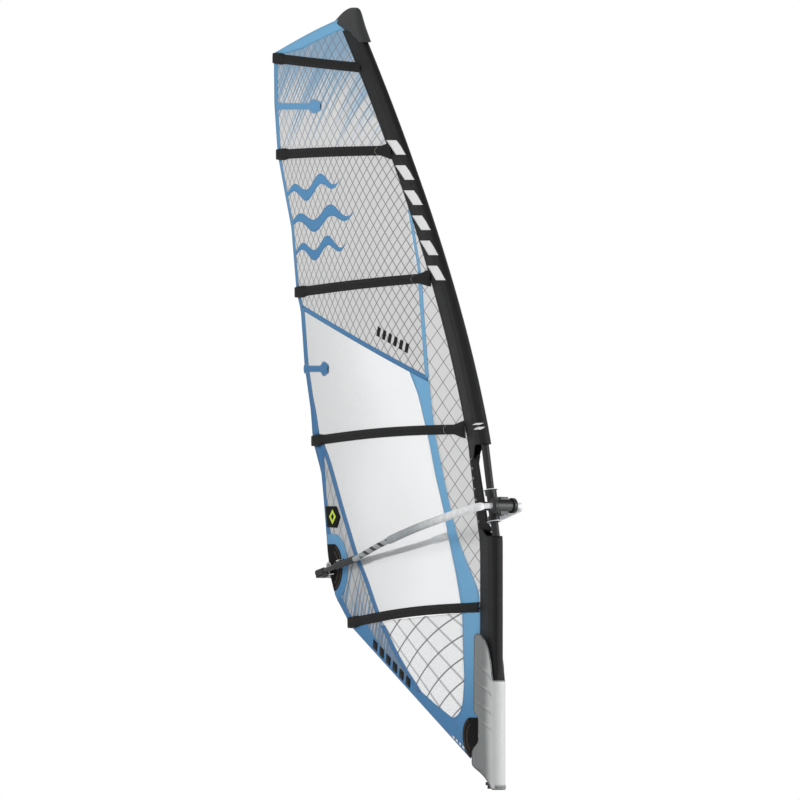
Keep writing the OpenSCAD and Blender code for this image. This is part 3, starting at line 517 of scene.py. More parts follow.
def make_weave():
    """Over and under threads of a plain weave."""
    tree, b, (where, pitch), out = new_group("plain weave", ["Height", "Shade"], Pitch=0.001)
    x, y, z = b.split(where)
    turn = math.tau / pitch
    woven = b.math("SINE", (x + y) * turn) * b.math("SINE", z * turn)
    slub = b.noise(where, 260.0, 2.0)
    b.feed(out["Height"], woven * 0.5 + slub)
    b.feed(out["Shade"], b.ramp(woven + slub, -0.6, 1.6, 0.88, 1.08))
    return tree


def make_diamonds():
    """Crossed threads laid in a film, wider apart towards the luff."""
    tree, b, (where, across, rise, growth, start, width), out = new_group(
        "crossed threads", ["Thread"], Across=0.035, Rise=0.07, Growth=1.1, Start=-1.95, Width=0.1)
    x, _, z = b.split(where)
    run = b.math("MAXIMUM", x - start, 0.0)
    u = b.math("LOGARITHM", run / growth + 1.0, math.e) * growth / across
    v = z / rise
    near = b.math("MINIMUM", *(abs(b.fract(way) - 0.5) for way in (u + v, u - v)))
    b.feed(out["Thread"], b.ramp(near, 0.0, width, 1.0, 0.0))
    return tree


def make_streaks():
    """Slanting printed streaks, solid above one height and gone below another."""
    tree, b, (where, slant, pitch, full, gone), out = new_group(
        "printed streaks", ["Mask"], Slant=0.9, Pitch=0.026, Full=3.9, Gone=3.3)
    x, _, z = b.split(where)
    lanes = (x * b.math("SINE", slant) - z * b.math("COSINE", slant)) / pitch
    chance = b.source("TexWhiteNoise", "Value", {"W": b.math("FLOOR", lanes)},
                      noise_dimensions="1D")
    fill = b.ramp(z + (chance - 0.5) * 0.34, gone, full, 0.0, 1.05)
    off_centre = abs(b.fract(lanes) - 0.5) * 2.0
    b.feed(out["Mask"], b.ramp(fill - off_centre, -0.06, 0.06))
    return tree


def make_variation():
    """Slow changes of shade from sun, handling and folding."""
    tree, b, (where, size, amount), out = new_group("soft variation", ["Shade", "Height"],
                                                    Size=0.2, Amount=0.1)
    slow = b.noise(where, 1.0 / size, 4.0, 0.55)
    b.feed(out["Shade"], (slow - 0.5) * (amount * 2.0) + 1.0)
    b.feed(out["Height"], slow)
    return tree


def make_wear():
    """Rubbed edges, broken up by grit."""
    tree, b, (where, reach), out = new_group("edge wear", ["Mask"], Reach=0.53)
    sharp = b.source("NewGeometry", "Pointiness")
    grit = b.noise(where, 90.0, 4.0, 0.7)
    b.feed(out["Mask"], b.ramp(sharp + (grit - 0.5) * 0.12, reach, reach + 0.06))
    return tree


def make_grain():
    """The fine leathery grain of moulded plastic."""
    tree, b, (where, size), out = new_group("moulded grain", ["Height", "Shade"], Size=0.0016)
    cells = b.source("TexVoronoi", "Distance", {"Vector": where, "Scale": 1.0 / size},
                     feature="SMOOTH_F1")
    b.feed(out["Height"], cells)
    b.feed(out["Shade"], b.ramp(b.noise(where, 35.0, 5.0, 0.6), 0.3, 0.7, 0.9, 1.1))
    return tree


def make_braid():
    """The crossing strands of a braided line."""
    tree, b, (where, pitch), out = new_group("braid", ["Height", "Fleck"], Pitch=0.004)
    x, y, z = b.split(where)
    turn = math.tau / pitch
    one, two = (b.math("SINE", way * turn) for way in (x + z + y, x - z - y))
    b.feed(out["Height"], b.math("MAXIMUM", one, two))
    b.feed(out["Fleck"], b.ramp(one * two, 0.55, 0.8))
    return tree


def make_twill():
    """Carbon tows under clear resin."""
    tree, b, (where, tow), out = new_group("carbon twill", ["Shade"], Tow=0.004)
    x, y, z = b.split(where)
    step = b.math("FLOOR", (x + y) / tow) + b.math("FLOOR", z / tow)
    b.feed(out["Shade"], b.ramp(b.fract(step * 0.25), 0.2, 0.6, 0.6, 1.35))
    return tree


WEAVE, DIAMONDS, STREAKS = make_weave(), make_diamonds(), make_streaks()
VARIATION, WEAR, GRAIN = make_variation(), make_wear(), make_grain()
BRAID, TWILL = make_braid(), make_twill()


# ------------------------------------------------------------------ materials
class Finish(Bench):
    """One material: a Principled shader and the nodes that feed it."""

    def __init__(self, name, roughness, **constants):
        self.material = bpy.data.materials.new(name)
        self.material.use_nodes = True
        super().__init__(self.material.node_tree)
        self.shader = self.tree.nodes["Principled BSDF"].inputs
        for key, value in {"Roughness": roughness, **constants}.items():
            self.shader[key.replace("_", " ")].default_value = value
        self.where = self.source("TexCoord", "Object")

    def use(self, group, **values):
        """The outputs of a shared group, by name."""
        made = self.add("Group", node_tree=group)
        for key, value in {"Where": self.where, **values}.items():
            self.feed(made.inputs[key], value)
        return {output.name: Term(self, output) for output in made.outputs}

    def set(self, label, value):
        self.feed(self.shader[label], value)

    def shaded(self, colour, *shades):
        """The colour times each shade."""
        for shade in shades:
            colour = self.blend(1.0, colour, shade, "MULTIPLY")
        return colour

    def paint(self, colour, *shades):
        self.set("Base Color", self.shaded(colour, *shades))

    def bump(self, height, distance):
        self.set("Normal", self.source("Bump", "Normal", {"Distance": distance, "Height": height}))


def rgb(red, green, blue):
    """A colour given as display values from 0 to 255."""
    def linear(v):
        v /= 255
        return v / 12.92 if v <= 0.04045 else ((v + 0.055) / 1.055) ** 2.4
    return (linear(red), linear(green), linear(blue), 1.0)


WHITE, SCRIM_GREY, THREAD_GREY = rgb(240, 240, 240), rgb(214, 214, 214), rgb(104, 104, 106)


def woven_finish(name, colour, pitch, roughness, amount=0.12, sheen=0.15, shine=0.5):
    m = Finish(name, roughness, Sheen_Weight=sheen, Sheen_Roughness=0.5, Specular_IOR_Level=shine)
    weave = m.use(WEAVE, Pitch=pitch)
    slow = m.use(VARIATION, Size=0.22, Amount=amount)
    m.paint(colour, weave["Shade"], slow["Shade"])
    m.set("Roughness", slow["Shade"] * roughness)
    m.bump(weave["Height"] + slow["Height"] * 6.0, 0.0004)
    return m.material


def blue_finish(name, low_colour, high_colour, low, high, lean=0.0):
    """Blue laminate whose shade changes with height, and forward where lean is given."""
    m = Finish(name, 0.45, Coat_Weight=0.1, Coat_Roughness=0.3)
    x, _, z = m.split(m.where)
    colour = m.blend(m.ramp(z + x * lean, low, high), low_colour, high_colour)
    slow = m.use(VARIATION, Size=0.3, Amount=0.06)
    weave = m.use(WEAVE, Pitch=0.003)
    m.paint(colour, slow["Shade"], m.ramp(weave["Shade"], 0.88, 1.08, 0.97, 1.03))
    m.bump(weave["Height"] + slow["Height"] * 8.0, 0.0002)
    return m.material


def scrim_finish(name, across, rise, growth=1.1, width=0.1, ground=SCRIM_GREY, thread=THREAD_GREY):
    """A reinforced film: pale ground with crossed threads in it."""
    m = Finish(name, 0.38, Coat_Weight=0.15, Coat_Roughness=0.25)
    threads = m.use(DIAMONDS, Across=across, Rise=rise, Growth=growth, Width=width)["Thread"]
    slow = m.use(VARIATION, Size=0.45, Amount=0.05)
    m.paint(m.blend(threads, ground, thread), slow["Shade"])
    m.set("Alpha", m.ramp(threads, 0, 1, 0.93, 1.0))
    m.bump(threads + slow["Height"] * 10.0, 0.0003)
    return m.material


def streak_finish(name, full, gone, pitch, slant, solid, ground, across=0.04, rise=0.075,
                  start=-1.95):
    """Scrim with slanting print that fades out along the sail."""
    m = Finish(name, 0.4, Coat_Weight=0.15, Coat_Roughness=0.25)
    threads = m.use(DIAMONDS, Across=across, Rise=rise, Start=start)["Thread"]
    broad, fine = (m.use(STREAKS, Slant=turn, Pitch=step, Full=full, Gone=gone)["Mask"]
                   for turn, step in ((slant, pitch), (slant + 0.07, pitch * 0.43)))
    slow = m.use(VARIATION, Size=0.3, Amount=0.08)
    printed = m.blend(broad * 0.85, ground, solid)
    printed = m.blend(fine * 0.32, printed, rgb(84, 96, 110))
    m.paint(m.blend(threads * 0.75, printed, THREAD_GREY), slow["Shade"])
    m.bump(threads + slow["Height"] * 10.0, 0.0003)
    return m.material


def window_finish():
    """Clear film, slightly milky and softly rippled, with painted shade aft and painted light
    forward.
    """
    m = Finish("window film", 0.16, Coat_Weight=0.3, Coat_Roughness=0.1)
    clouds = m.noise(m.where, 1.7, 0.0)
    x, _, z = m.split(m.where)
    # painted light and shade: the film's colour goes from darker aft and low to paler forward and
    # high, broken up by soft clouds
    aft = m.ramp(x + z * 0.25 + clouds, -0.75, 0.35)
    slow = m.use(VARIATION, Size=0.9, Amount=0.04)
    m.paint(m.blend(aft, rgb(172, 174, 176), rgb(238, 240, 242)), slow["Shade"])
    m.set("Alpha", m.ramp(clouds, 0.3, 0.7, 0.34, 0.42))
    m.bump(clouds, 0.004)
    return m.material


# the foot window's threads: arcs about one point and rays from another
ARC_CENTRE, ARC_FIRST, ARC_STEP = (0.154, -0.353), 0.890, 0.109
RAY_CENTRE, RAY_STEP = (-1.942, 1.741), math.radians(3.35)


def grid_film_finish():
    """Clear film with thick arcs and thinner rays laid in it."""
    m = Finish("grid film", 0.2, Coat_Weight=0.3, Coat_Roughness=0.1)
    x, _, z = m.split(m.where)
    dx, dz = x - ARC_CENTRE[0], z - ARC_CENTRE[1]
    reach = m.math("SQRT", dx * dx + dz * dz)
    lap = m.fract((reach - ARC_FIRST) / ARC_STEP + 0.5)
    arc = m.ramp(abs(lap - 0.5), 0.028, 0.05, 1.0, 0.0)
    lap = m.fract(m.math("ARCTAN2", z - RAY_CENTRE[1], x - RAY_CENTRE[0]) / RAY_STEP)
    ray = m.ramp(abs(lap - 0.5), 0.04, 0.07, 1.0, 0.0)
    slow = m.use(VARIATION, Size=0.4, Amount=0.08)
    film = m.blend(ray * 0.55, rgb(232, 233, 234), rgb(120, 122, 125))
    m.paint(m.blend(arc * 0.9, film, rgb(98, 100, 104)), slow["Shade"])
    threads = m.math("MAXIMUM", arc, ray)
    m.set("Alpha", threads * 0.5 + 0.5)
    m.bump(threads + slow["Height"] * 14.0, 0.0006)
    return m.material


def plastic_finish(name, colour, roughness=0.45, grain=0.0016, **constants):
    """Moulded plastic, paler where its edges are rubbed."""
    m = Finish(name, roughness, **constants)
    skin = m.use(GRAIN, Size=grain)
    worn = tuple(min(1.0, 2.2 * c + 0.03) for c in colour[:3]) + (1.0,)
    rub = m.use(WEAR)["Mask"] * 0.6
    m.paint(m.blend(rub, m.shaded(colour, skin["Shade"]), worn))
    m.set("Roughness", skin["Shade"] * roughness)
    m.bump(skin["Height"], 0.00015)
    return m.material


def metal_finish(name, colour, roughness=0.28, scale=420.0):
    """Metal with a brushed surface."""
    m = Finish(name, roughness, Metallic=1.0)
    x, y, z = m.split(m.where)
    brushed = m.noise(m.join(x * 0.15, y, z), scale, 3.0, 0.6)
    slow = m.use(VARIATION, Size=0.05, Amount=0.08)
    m.paint(colour, m.ramp(brushed, 0.2, 0.8, 0.88, 1.06), slow["Shade"])
    m.set("Roughness", m.ramp(brushed, 0.2, 0.8, roughness * 0.8, roughness * 1.4))
    m.bump(brushed, 0.00008)
    return m.material


def carbon_finish():
    m = Finish("carbon mast", 0.22, Coat_Weight=0.4, Coat_Roughness=0.06, Specular_IOR_Level=0.3)
    tows = m.use(TWILL)["Shade"]
    slow = m.use(VARIATION, Size=0.4, Amount=0.15)
    m.paint(rgb(22, 22, 23), tows, slow["Shade"])
    m.set("Roughness", m.ramp(tows, 0.6, 1.35, 0.16, 0.34))
    m.bump(tows + slow["Height"], 0.00005)
    return m.material


def line_finish(name, colour, fleck):
    m = Finish(name, 0.7, Sheen_Weight=0.2)
    strands = m.use(BRAID, Pitch=0.0042)
    slow = m.use(VARIATION, Size=0.03, Amount=0.15)
    m.paint(m.blend(strands["Fleck"], colour, fleck), slow["Shade"])
    m.bump(strands["Height"], 0.0004)
    return m.material


def rubber_finish(name, colour):
    m = Finish(name, 0.82)
    skin = m.use(GRAIN, Size=0.0008)
    slow = m.use(VARIATION, Size=0.06, Amount=0.2)
    m.paint(colour, skin["Shade"], slow["Shade"])
    m.bump(skin["Height"], 0.0002)
    return m.material


BLACK_SLEEVE = woven_finish("black sleeve cloth", rgb(7, 7, 8), 0.0026, 0.38, 0.16, 0.02, 0.22)
BLACK_POCKET = woven_finish("black pocket cloth", rgb(26, 25, 25), 0.0026, 0.7, 0.12, 0.04, 0.2)
BLACK_PATCH = woven_finish("black patch cloth", rgb(6, 6, 7), 0.0020, 0.6, 0.12, 0.04, 0.1)
CAP_CLOTH = woven_finish("head cap cloth", rgb(40, 41, 41), 0.0016, 0.42, 0.1, 0.05, 0.35)
SEAM_BLUE = blue_finish("light blue tape", rgb(98, 156, 196), rgb(104, 164, 204), 0.3, 1.6)
LEECH_BLUE = blue_finish("deep blue tape", rgb(46, 108, 158), rgb(84, 144, 188), 1.9, 3.2)
FOOT_BLUE = blue_finish("deep blue laminate", rgb(44, 112, 162), rgb(100, 158, 198), 0.00, 0.75,
                        lean=0.6)
KNOB_BLUE = blue_finish("blue knob laminate", rgb(52, 112, 160), rgb(90, 148, 192), 2.1, 3.4)
FINE_SCRIM = scrim_finish("fine scrim", 0.033, 0.072)
LUFF_SCRIM = scrim_finish("coarse scrim", 0.102, 0.104, growth=40.0, width=0.05,
                          ground=rgb(219, 219, 219), thread=rgb(84, 84, 88))
HEAD_SCRIM = streak_finish("streaked head scrim", 3.86, 3.32, 0.021, 0.93, rgb(118, 168, 204),
                           SCRIM_GREY)
LEECH_SCRIM = streak_finish("streaked leech scrim", 0.62, 1.18, 0.030, 1.25, rgb(70, 122, 162),
                            rgb(178, 180, 182), across=0.05, rise=0.14, start=-1.6)
WINDOW, GRID_FILM = window_finish(), grid_film_finish()
PRINT_BLUE = blue_finish("blue print", rgb(60, 124, 172), rgb(74, 136, 184), 2.6, 3.2)
PRINT_WHITE = woven_finish("white print", rgb(226, 226, 226), 0.0026, 0.6)
PRINT_LIME = woven_finish("lime print", rgb(204, 226, 44), 0.0020, 0.55)
PRINT_BLACK = woven_finish("black print", rgb(14, 15, 17), 0.0026, 0.6, 0.12, 0.04, 0.2)
PALE_THREAD = rubber_finish("pale thread", rgb(205, 205, 205))
TAN_THREAD = rubber_finish("tan thread", rgb(120, 98, 82))
DARK_THREAD = rubber_finish("dark thread", rgb(60, 60, 62))

DULL = 0.3
FINISHES = {
    "carbon": carbon_finish(),
    "alloy_tube": metal_finish("brushed alloy", rgb(190, 192, 196)),
    "black_plastic": plastic_finish("black plastic", rgb(20, 20, 21), Specular_IOR_Level=DULL),
    "steel": metal_finish("stainless steel", rgb(206, 207, 210), 0.2, 700.0),
    "sheave_plastic": plastic_finish("sheave plastic", rgb(196, 198, 200), 0.35),
    "red_plastic": plastic_finish("red plastic", rgb(196, 40, 34), 0.35),
    "line": line_finish("braided line", rgb(214, 215, 208), rgb(40, 96, 160)),
    "eyelet": metal_finish("eyelet steel", rgb(200, 201, 204), 0.22, 600.0),
    "batten_rod": plastic_finish("batten rod", rgb(70, 72, 74), 0.3),
    "head_plastic": plastic_finish("boom head plastic", rgb(28, 29, 30), 0.42, grain=0.0022,
                                   Specular_IOR_Level=DULL),
    "rubber": rubber_finish("black rubber", rgb(24, 24, 25)),
    "collar_plastic": plastic_finish("collar plastic", rgb(24, 24, 25), Specular_IOR_Level=DULL),
    "clip_plastic": plastic_finish("clip plastic", rgb(206, 208, 210), 0.4),
    "black_tube": plastic_finish("black anodised tube", rgb(20, 20, 22), 0.32),
}

# ------------------------------------------------------------------ sail panels
HEAD_EDGE, HEAD_EDGE_X = [(3.73, -1.888), (3.765, -1.873), (3.93, -1.32)], -1.887


def panels():
    b1, b2, b3, b4, b5 = (batten_z(i) for i in range(5))
    seam, strip_aft, strip_fore = edge(LUFF_SEAM), edge(STRIP_AFT), edge(STRIP_FORE)
    window_seam = edge(WINDOW_SEAM)

    def head_aft(z):
        return read(HEAD_EDGE, z) if z > HEAD_AFT[1] else HEAD_EDGE_X

    def luff_aft(z):
        return max(strip_fore(z), seam(z)) if z < STRIP_FORE[-1][0] else seam(z)

    cloth("head_scrim", [bay(head_aft, under_cap, b1, head_z, 14, 30),
                         bay(to_leech, to_luff, b2, b1, 22, 34)],
          HEAD_SCRIM, ["top_panel"])
    cloth("upper_scrim", [bay(to_leech, before_luff(seam), b3, b2, 26, 34)], FINE_SCRIM,
          ["upper_panel"])
    cloth("lower_scrim", [bay(to_leech, seam, diagonal_z, b3, 20, 34)], FINE_SCRIM,
          ["scrim_triangle"])
    cloth("luff_scrims", [bay(before_luff(seam), to_luff, b3, b2, 20, 6),
                          bay(luff_aft, to_luff, b4, b3, 26, 10),
                          bay(before_luff(strip_fore), to_luff, b5, b4, 26, 10)],
          LUFF_SCRIM, ["luff_panels"])
    cloth("upper_film", [bay(to_leech, strip_aft, b4, diagonal_z, 30, 40)], WINDOW,
          ["upper_window"], FILM)
    cloth("lower_film", [bay(window_seam, strip_aft, b5, b4, 36, 36)], WINDOW,
          ["lower_window"], FILM)
    cloth("leech_panel", [bay(to_leech, window_seam, b5, b4, 36, 10)], LEECH_SCRIM,
          ["leech_scrim"])
    cloth("luff_strip", [bay(strip_aft, before_luff(strip_fore), b5, b4, 30, 4),
                         bay(strip_aft, strip_fore, b4, diagonal_z, 16, 5)],
          SEAM_BLUE)


# edges of the foot's panels as (x, z), from their front ends
FILM_FORE = [(-0.360, 0.367), (-0.493, 0.428), (-0.640, 0.505)]
FILM_LEFT = FILM_FORE + [(-0.742, 0.600), (-0.832, 0.700), (-0.950, 0.862)]
FILM_RIGHT = [(-0.360, 0.367), (-0.300, 0.385), (-0.272, 0.440), (-0.257, 0.571), (-0.276, 0.905)]
BAND_TOP = FILM_FORE + [(-0.829, 0.606), (-0.998, 0.746), (-1.100, 0.860)]
BAND_END = (-1.2436, 0.838)
TACK_FRONT = [(-0.223, 0.159), (-0.165, 0.225), (-0.134, 0.400), (-0.134, 0.925)]


def foot_panels():
    cloth("foot_film", [between(FILM_LEFT, FILM_RIGHT, 30, 24)], GRID_FILM,
          ["foot_window"], FILM)
    cloth("foot_strip", [between([FOOT_FORE, BAND_END], BAND_TOP, 40, 6)], FOOT_BLUE,
          ["foot_band"])
    cloth("foot_wedge", [between(BAND_TOP[2:], FILM_LEFT[2:], 16, 6)], LEECH_SCRIM)
    cloth("tack_cloth", [between(FILM_RIGHT, TACK_FRONT, 34, 6)], FOOT_BLUE,
          ["tack_panel"])


# heights between which the leech tape runs from one batten pocket to the next
LEECH_BAYS = [(0.868, 1.760), (1.800, 2.520), (2.556, 3.226), (3.256, 3.716)]


def both_sides(grid):
    """The same tape laid on the starboard and on the port face of the sail."""
    return [shifted(grid, -SEAM_STEP), shifted(grid, SEAM_STEP)]


def tapes():
    leech = []
    for low, high in LEECH_BAYS:
        leech += both_sides([[on_sail(mix(leech_x(z), leech_x(z) + read(LEECH_TAPE, z), s), z)
                              for s in (0, 0.5, 1)] for z in steps(low, high, 24)])
    cloth("leech_tape", leech, LEECH_BLUE, thickness=TAPE)
    diagonal = [[on_sail(x, diagonal_z(x) + s * 0.013) for s in (-1, 0, 1)]
                for x in steps(-1.655, -0.560, 36)]
    window = (both_sides(ribbon(WINDOW_SEAM, 0.019, 0.500, 0.838, 12))
              + both_sides(ribbon(WINDOW_SEAM, 0.017, 0.885, 1.775, 30)) + both_sides(diagonal))
    cloth("window_tape", window, LEECH_BLUE, ["seam_tapes"], TAPE)
    luff = (both_sides(ribbon(LUFF_SEAM, 0.014, 2.105, 2.590, 20))
            + both_sides(ribbon(LUFF_SEAM, 0.0095, 2.632, 2.960, 14)))
    cloth("luff_tape", luff, SEAM_BLUE, thickness=TAPE)

    def head_low(x):
        return head_z(x) - mix(0.020, 0.060, clamp01((x + 1.88) / 0.25))

    band = bay(lambda z: -1.880, under_cap, head_low, head_z, 4, 30)
    cloth("head_tape", both_sides(band), SEAM_BLUE, thickness=TAPE)


# ------------------------------------------------------------------ batten pockets
POCKET_HALF, POCKET_HIGH = 0.0245, 0.0135
END_HALF, END_HIGH = 0.0295, 0.0162
FLARE_ROW = 53
# shares of a pocket's half width, from its lower edge to its upper edge
POCKET_COLUMNS = (-1, -0.86, -0.66, -0.46, -0.26, 0, 0.26, 0.46, 0.66, 0.86, 1)


def pocket_grid(number):
    """Starboard face of a pocket: flat sewn margins and a raised middle over the batten."""
    tail, luff, _, flare = BATTENS[number]
    span = math.dist(tail, luff)
    up = batten_z(number)
    rows = []
    for t in steps(0.002 / span, 1.0, 60):
        from_end, from_luff = t * span, (1 - t) * span
        end = 1 - ease((from_end - 0.060) / 0.06)
        half = mix(POCKET_HALF, END_HALF, 1 - clamp01((from_end - 0.066) / 0.03))
        half = min(half, POCKET_HALF + 0.5 * from_end)
        half = max(half, mix(POCKET_HALF, flare, 1 - clamp01((from_luff - 0.012) / 0.075)))
        x = mix(tail[0], luff[0], t)
        flat = mix(0.006, POCKET_HALF, end)
        rise = mix(POCKET_HIGH * (1 - 0.35 * ease(1 - from_luff / 0.08)), END_HIGH, end)
        row = []
        for q in POCKET_COLUMNS:
            out = abs(q) * half
            crown = 1 - ease((out - flat) / max(0.004, half * 0.86 - flat))
            row.append(on_sail(x, up(x) + q * half, -POCKET_STEP - rise * crown))
        rows.append(row)
    return rows


def pocket_back(number):
    """Flat strip sewn on the port face behind a pocket."""
    tail, luff = BATTENS[number][:2]
    up = batten_z(number)
    return [[on_sail(x, up(x) + q * POCKET_HALF, POCKET_STEP) for q in (-1, 0, 1)]
            for x in steps(tail[0] + 0.004, luff[0], 40)]


def pockets():
    fronts = [pocket_grid(i) for i in range(5)]
    cloth("pocket_cloth", fronts + [pocket_back(i) for i in range(5)], BLACK_POCKET,
          ["batten_pockets"], TAPE)
    runs = []
    for grid, batten in zip(fronts, BATTENS):
        runs += [proud([row[column] for row in grid], 0.0008) for column in (1, 9)]
        if batten[3] > 0.03:
            runs.append(proud(grid[FLARE_ROW], 0.0009))
        runs.append(proud(grid[3], 0.0009))
    stitches("pocket_stitching", runs, DARK_THREAD)
    stitches("flare_stitching", [proud(grid[FLARE_ROW], 0.0014) for grid in fronts[1:4]],
             PALE_THREAD, width=0.0018)


# ------------------------------------------------------------------ short battens
# height, tail end, start of the knob, nose
MINIS = [(3.487, -1.866, -1.575, -1.458), (2.148, -1.634, -1.490, -1.415)]


def short_battens():
    """Blue pockets with a broad knob at the front end."""
    grids = []
    for z, tail, neck, nose in MINIS:
        rows = []
        for x in steps(tail, nose, 40):
            if x < neck:
                half = mix(0.024, 0.0165, ease((x - tail) / 0.05))
            else:
                s = (x - neck) / (nose - neck)
                half = mix(0.0165, 0.037, ease(s / 0.38)) * (1 - 0.30 * ease((s - 0.45) / 0.4))
                half *= math.sqrt(max(0.0, 1 - max(0.0, (s - 0.86) / 0.15) ** 2)) * 0.75 + 0.25
            rise = mix(0.0045, 0.0075, ease((x - neck) / 0.03))
            rows.append([on_sail(x, z + q * half,
                                 -MINI_STEP - rise * (1 - ease((abs(q) - 0.45) / 0.5)))
                         for q in (-1, -0.9, -0.7, -0.35, 0, 0.35, 0.7, 0.9, 1)])
        grids.append(rows)
    backs = [[[on_sail(p.x, p.z, MINI_STEP) for p in row] for row in grid] for grid in grids]
    cloth("short_batten_pockets", grids + backs, KNOB_BLUE, ["mini_battens"])
    runs = [proud([row[column] for row in grid], 0.0009) for grid in grids for column in (1, 7)]
    stitches("short_batten_stitching", runs, PALE_THREAD)


# ------------------------------------------------------------------ corner patches
CLEW_CENTRE, CLEW_RADII = (-1.390, 1.135), (0.088, 0.122)
TACK_CENTRE, TACK_RADII = (-0.205, 0.268), (0.072, 0.104)


def half_round(centre, radii, way, back, off, grow=0.0):
    """A patch bounded by half an ellipse and by the sail's edge or its sleeve."""
    rows = []
    for a in steps(-1.34, 1.34, 28):
        x = centre[0] + way * (radii[0] + grow) * math.cos(a)
        z = centre[1] + (radii[1] + grow) * math.sin(a)
        rows.append([on_sail(place, z, off) for place in steps(back(z), x, 8)])
    return rows


def arc_run(centre, radii, way, shrink, off):
    """A line of stitches inside a patch's round edge."""
    return [on_sail(centre[0] + way * (radii[0] - shrink) * math.cos(a),
                    centre[1] + (radii[1] - shrink) * math.sin(a), off)
            for a in steps(-1.25, 1.25, 40)]


def patches():
    def leech_side(z):
        return leech_x(z) + 0.002

    def sleeve_side(z):
        return -0.137 if z > 0.24 else mix(-0.137, -0.215, (0.24 - z) / 0.09)

    clew = (CLEW_CENTRE, CLEW_RADII, 1)
    tack = (TACK_CENTRE, TACK_RADII, -1)
    surround = [half_round(*clew, leech_side, s * SURROUND_STEP, 0.052) for s in (-1, 1)]
    cloth("clew_surround", surround,
          FOOT_BLUE, thickness=0.0009)
    cloth("clew_reinforcement", [half_round(*clew, leech_side, s * PATCH_STEP) for s in (-1, 1)],
          BLACK_PATCH, ["clew_patch"])
    cloth("tack_reinforcement", [half_round(*tack, sleeve_side, s * PATCH_STEP) for s in (-1, 1)],
          BLACK_PATCH, ["tack_patch"])
    runs = [(arc_run(*corner, shrink, side * 0.0046), (0, side, 0)) for side in (-1, 1)
            for corner in (clew, tack) for shrink in (0.007, 0.013, 0.034, 0.040)]
    stitches("patch_stitching", runs, TAN_THREAD, width=0.0016)


# outline of the leech badge as (x, z)
BADGE = [(-1.452, 1.447), (-1.352, 1.447), (-1.317, 1.392), (-1.347, 1.337), (-1.440, 1.341)]


def flat_shape(name, outline, material, off, replaced=(), thickness=0.0008):
    """A small flat shape on the sail, fanned from its middle."""
    count = len(outline)
    middle = (sum(p[0] for p in outline) / count, sum(p[1] for p in outline) / count)
    sides = list(zip(outline, outline[1:] + outline[:1]))
    rim = [(mix(a[0], b[0], k / 4), mix(a[1], b[1], k / 4)) for a, b in sides for k in range(4)]
    points = [on_sail(*middle, off)]
    for s in (0.25, 0.5, 0.75, 1.0):
        points += [on_sail(mix(middle[0], x, s), mix(middle[1], z, s), off) for x, z in rim]
    n = len(rim)
    faces = [(0, 1 + i, 1 + (i + 1) % n) for i in range(n)] + grid_faces(4, n, 1, wrap=True)
    thing = thicken(piece(name, points, faces, material), thickness)
    area = abs(sum(a[0] * b[1] - b[0] * a[1] for a, b in sides)) / 2
    wide, high = (max(p[k] for p in outline) - min(p[k] for p in outline) for k in (0, 1))
    max(area, 0.31 * wide * high)
    if replaced:
        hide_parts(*replaced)


# diamond ring on the badge, and its dark middle
MARK = [(-1.418, 1.394), (-1.388, 1.432), (-1.356, 1.394), (-1.388, 1.354)]
MARK_MIDDLE = [(-1.400, 1.394), (-1.388, 1.411), (-1.374, 1.394), (-1.388, 1.376)]
# wave prints: tail, nose, widest half width
WAVES = [((-1.780, 3.030), (-1.290, 3.120), 0.030), ((-1.745, 2.880), (-1.170, 2.955), 0.033),
         ((-1.705, 2.735), (-1.240, 2.795), 0.028)]
WAVE_HEIGHT = 0.030


def wave(tail, nose, size):
    """A ribbon with two swells, pointed at its nose."""
    grid = []
    for t in steps(0, 1, 48):
        x = mix(tail[0], nose[0], t)
        z = mix(tail[1], nose[1], t) + WAVE_HEIGHT * math.sin(2 * math.tau * t)
        half = size * (0.35 + 0.65 * math.sin(math.pi * t)) * (1 - t ** 6)
        grid.append([on_sail(x, z + s * half, -0.0013) for s in (-1, -0.5, 0, 0.5, 1)])
    return grid


def bar(x, z, wide, high, slope):
    """A plain slanting bar, its foot on a line of the given slope."""
    return [[on_sail(x + wide * c + 0.30 * high * r, z + slope * wide * c + high * r, -0.0034)
             for c in (0, 0.5, 1)] for r in (0, 0.5, 1)]


def prints():
    """Plain abstract graphics where a sail has its printing."""
    flat_shape("hex_badge", BADGE, BLACK_PATCH, -PATCH_STEP, ["badge"])
    flat_shape("badge_mark", MARK, PRINT_LIME, -0.0046, thickness=0.0005)
    flat_shape("badge_mark_middle", MARK_MIDDLE, BLACK_PATCH, -0.0053, thickness=0.0005)
    for number, (tail, nose, size) in enumerate(WAVES, 1):
        cloth(f"wave_print_{number}", [wave(tail, nose, size)], PRINT_BLUE,
              thickness=PRINT)
    marks = [bar(-0.985 + 0.047 * i, 2.318 - 0.0165 * i, 0.024, 0.046, -0.35) for i in range(6)]
    marks += [bar(x, foot_z(x) + 0.018, 0.034, 0.044, -0.665)
              for x in (-1.050 + 0.056 * i for i in range(6))]
    cloth("dark_bars", marks, PRINT_BLACK, thickness=PRINT)
    pale = [bar(-0.372 + 0.028 * i, 0.268 - 0.0170 * i, 0.018, 0.012, -0.60) for i in range(5)]
    cloth("pale_bars", pale, PRINT_WHITE, thickness=PRINT)


# ------------------------------------------------------------------ sleeve
SLEEVE_SIDES = 44


def sleeve_half(z):
    if z < STRAIGHT_HIGH:
        return SLEEVE_R - 0.002 * clamp01((1.300 - z) / 0.100)
    return mix(SLEEVE_R, SLEEVE_HEAD_R, clamp01((z - STRAIGHT_HIGH) / 1.430))


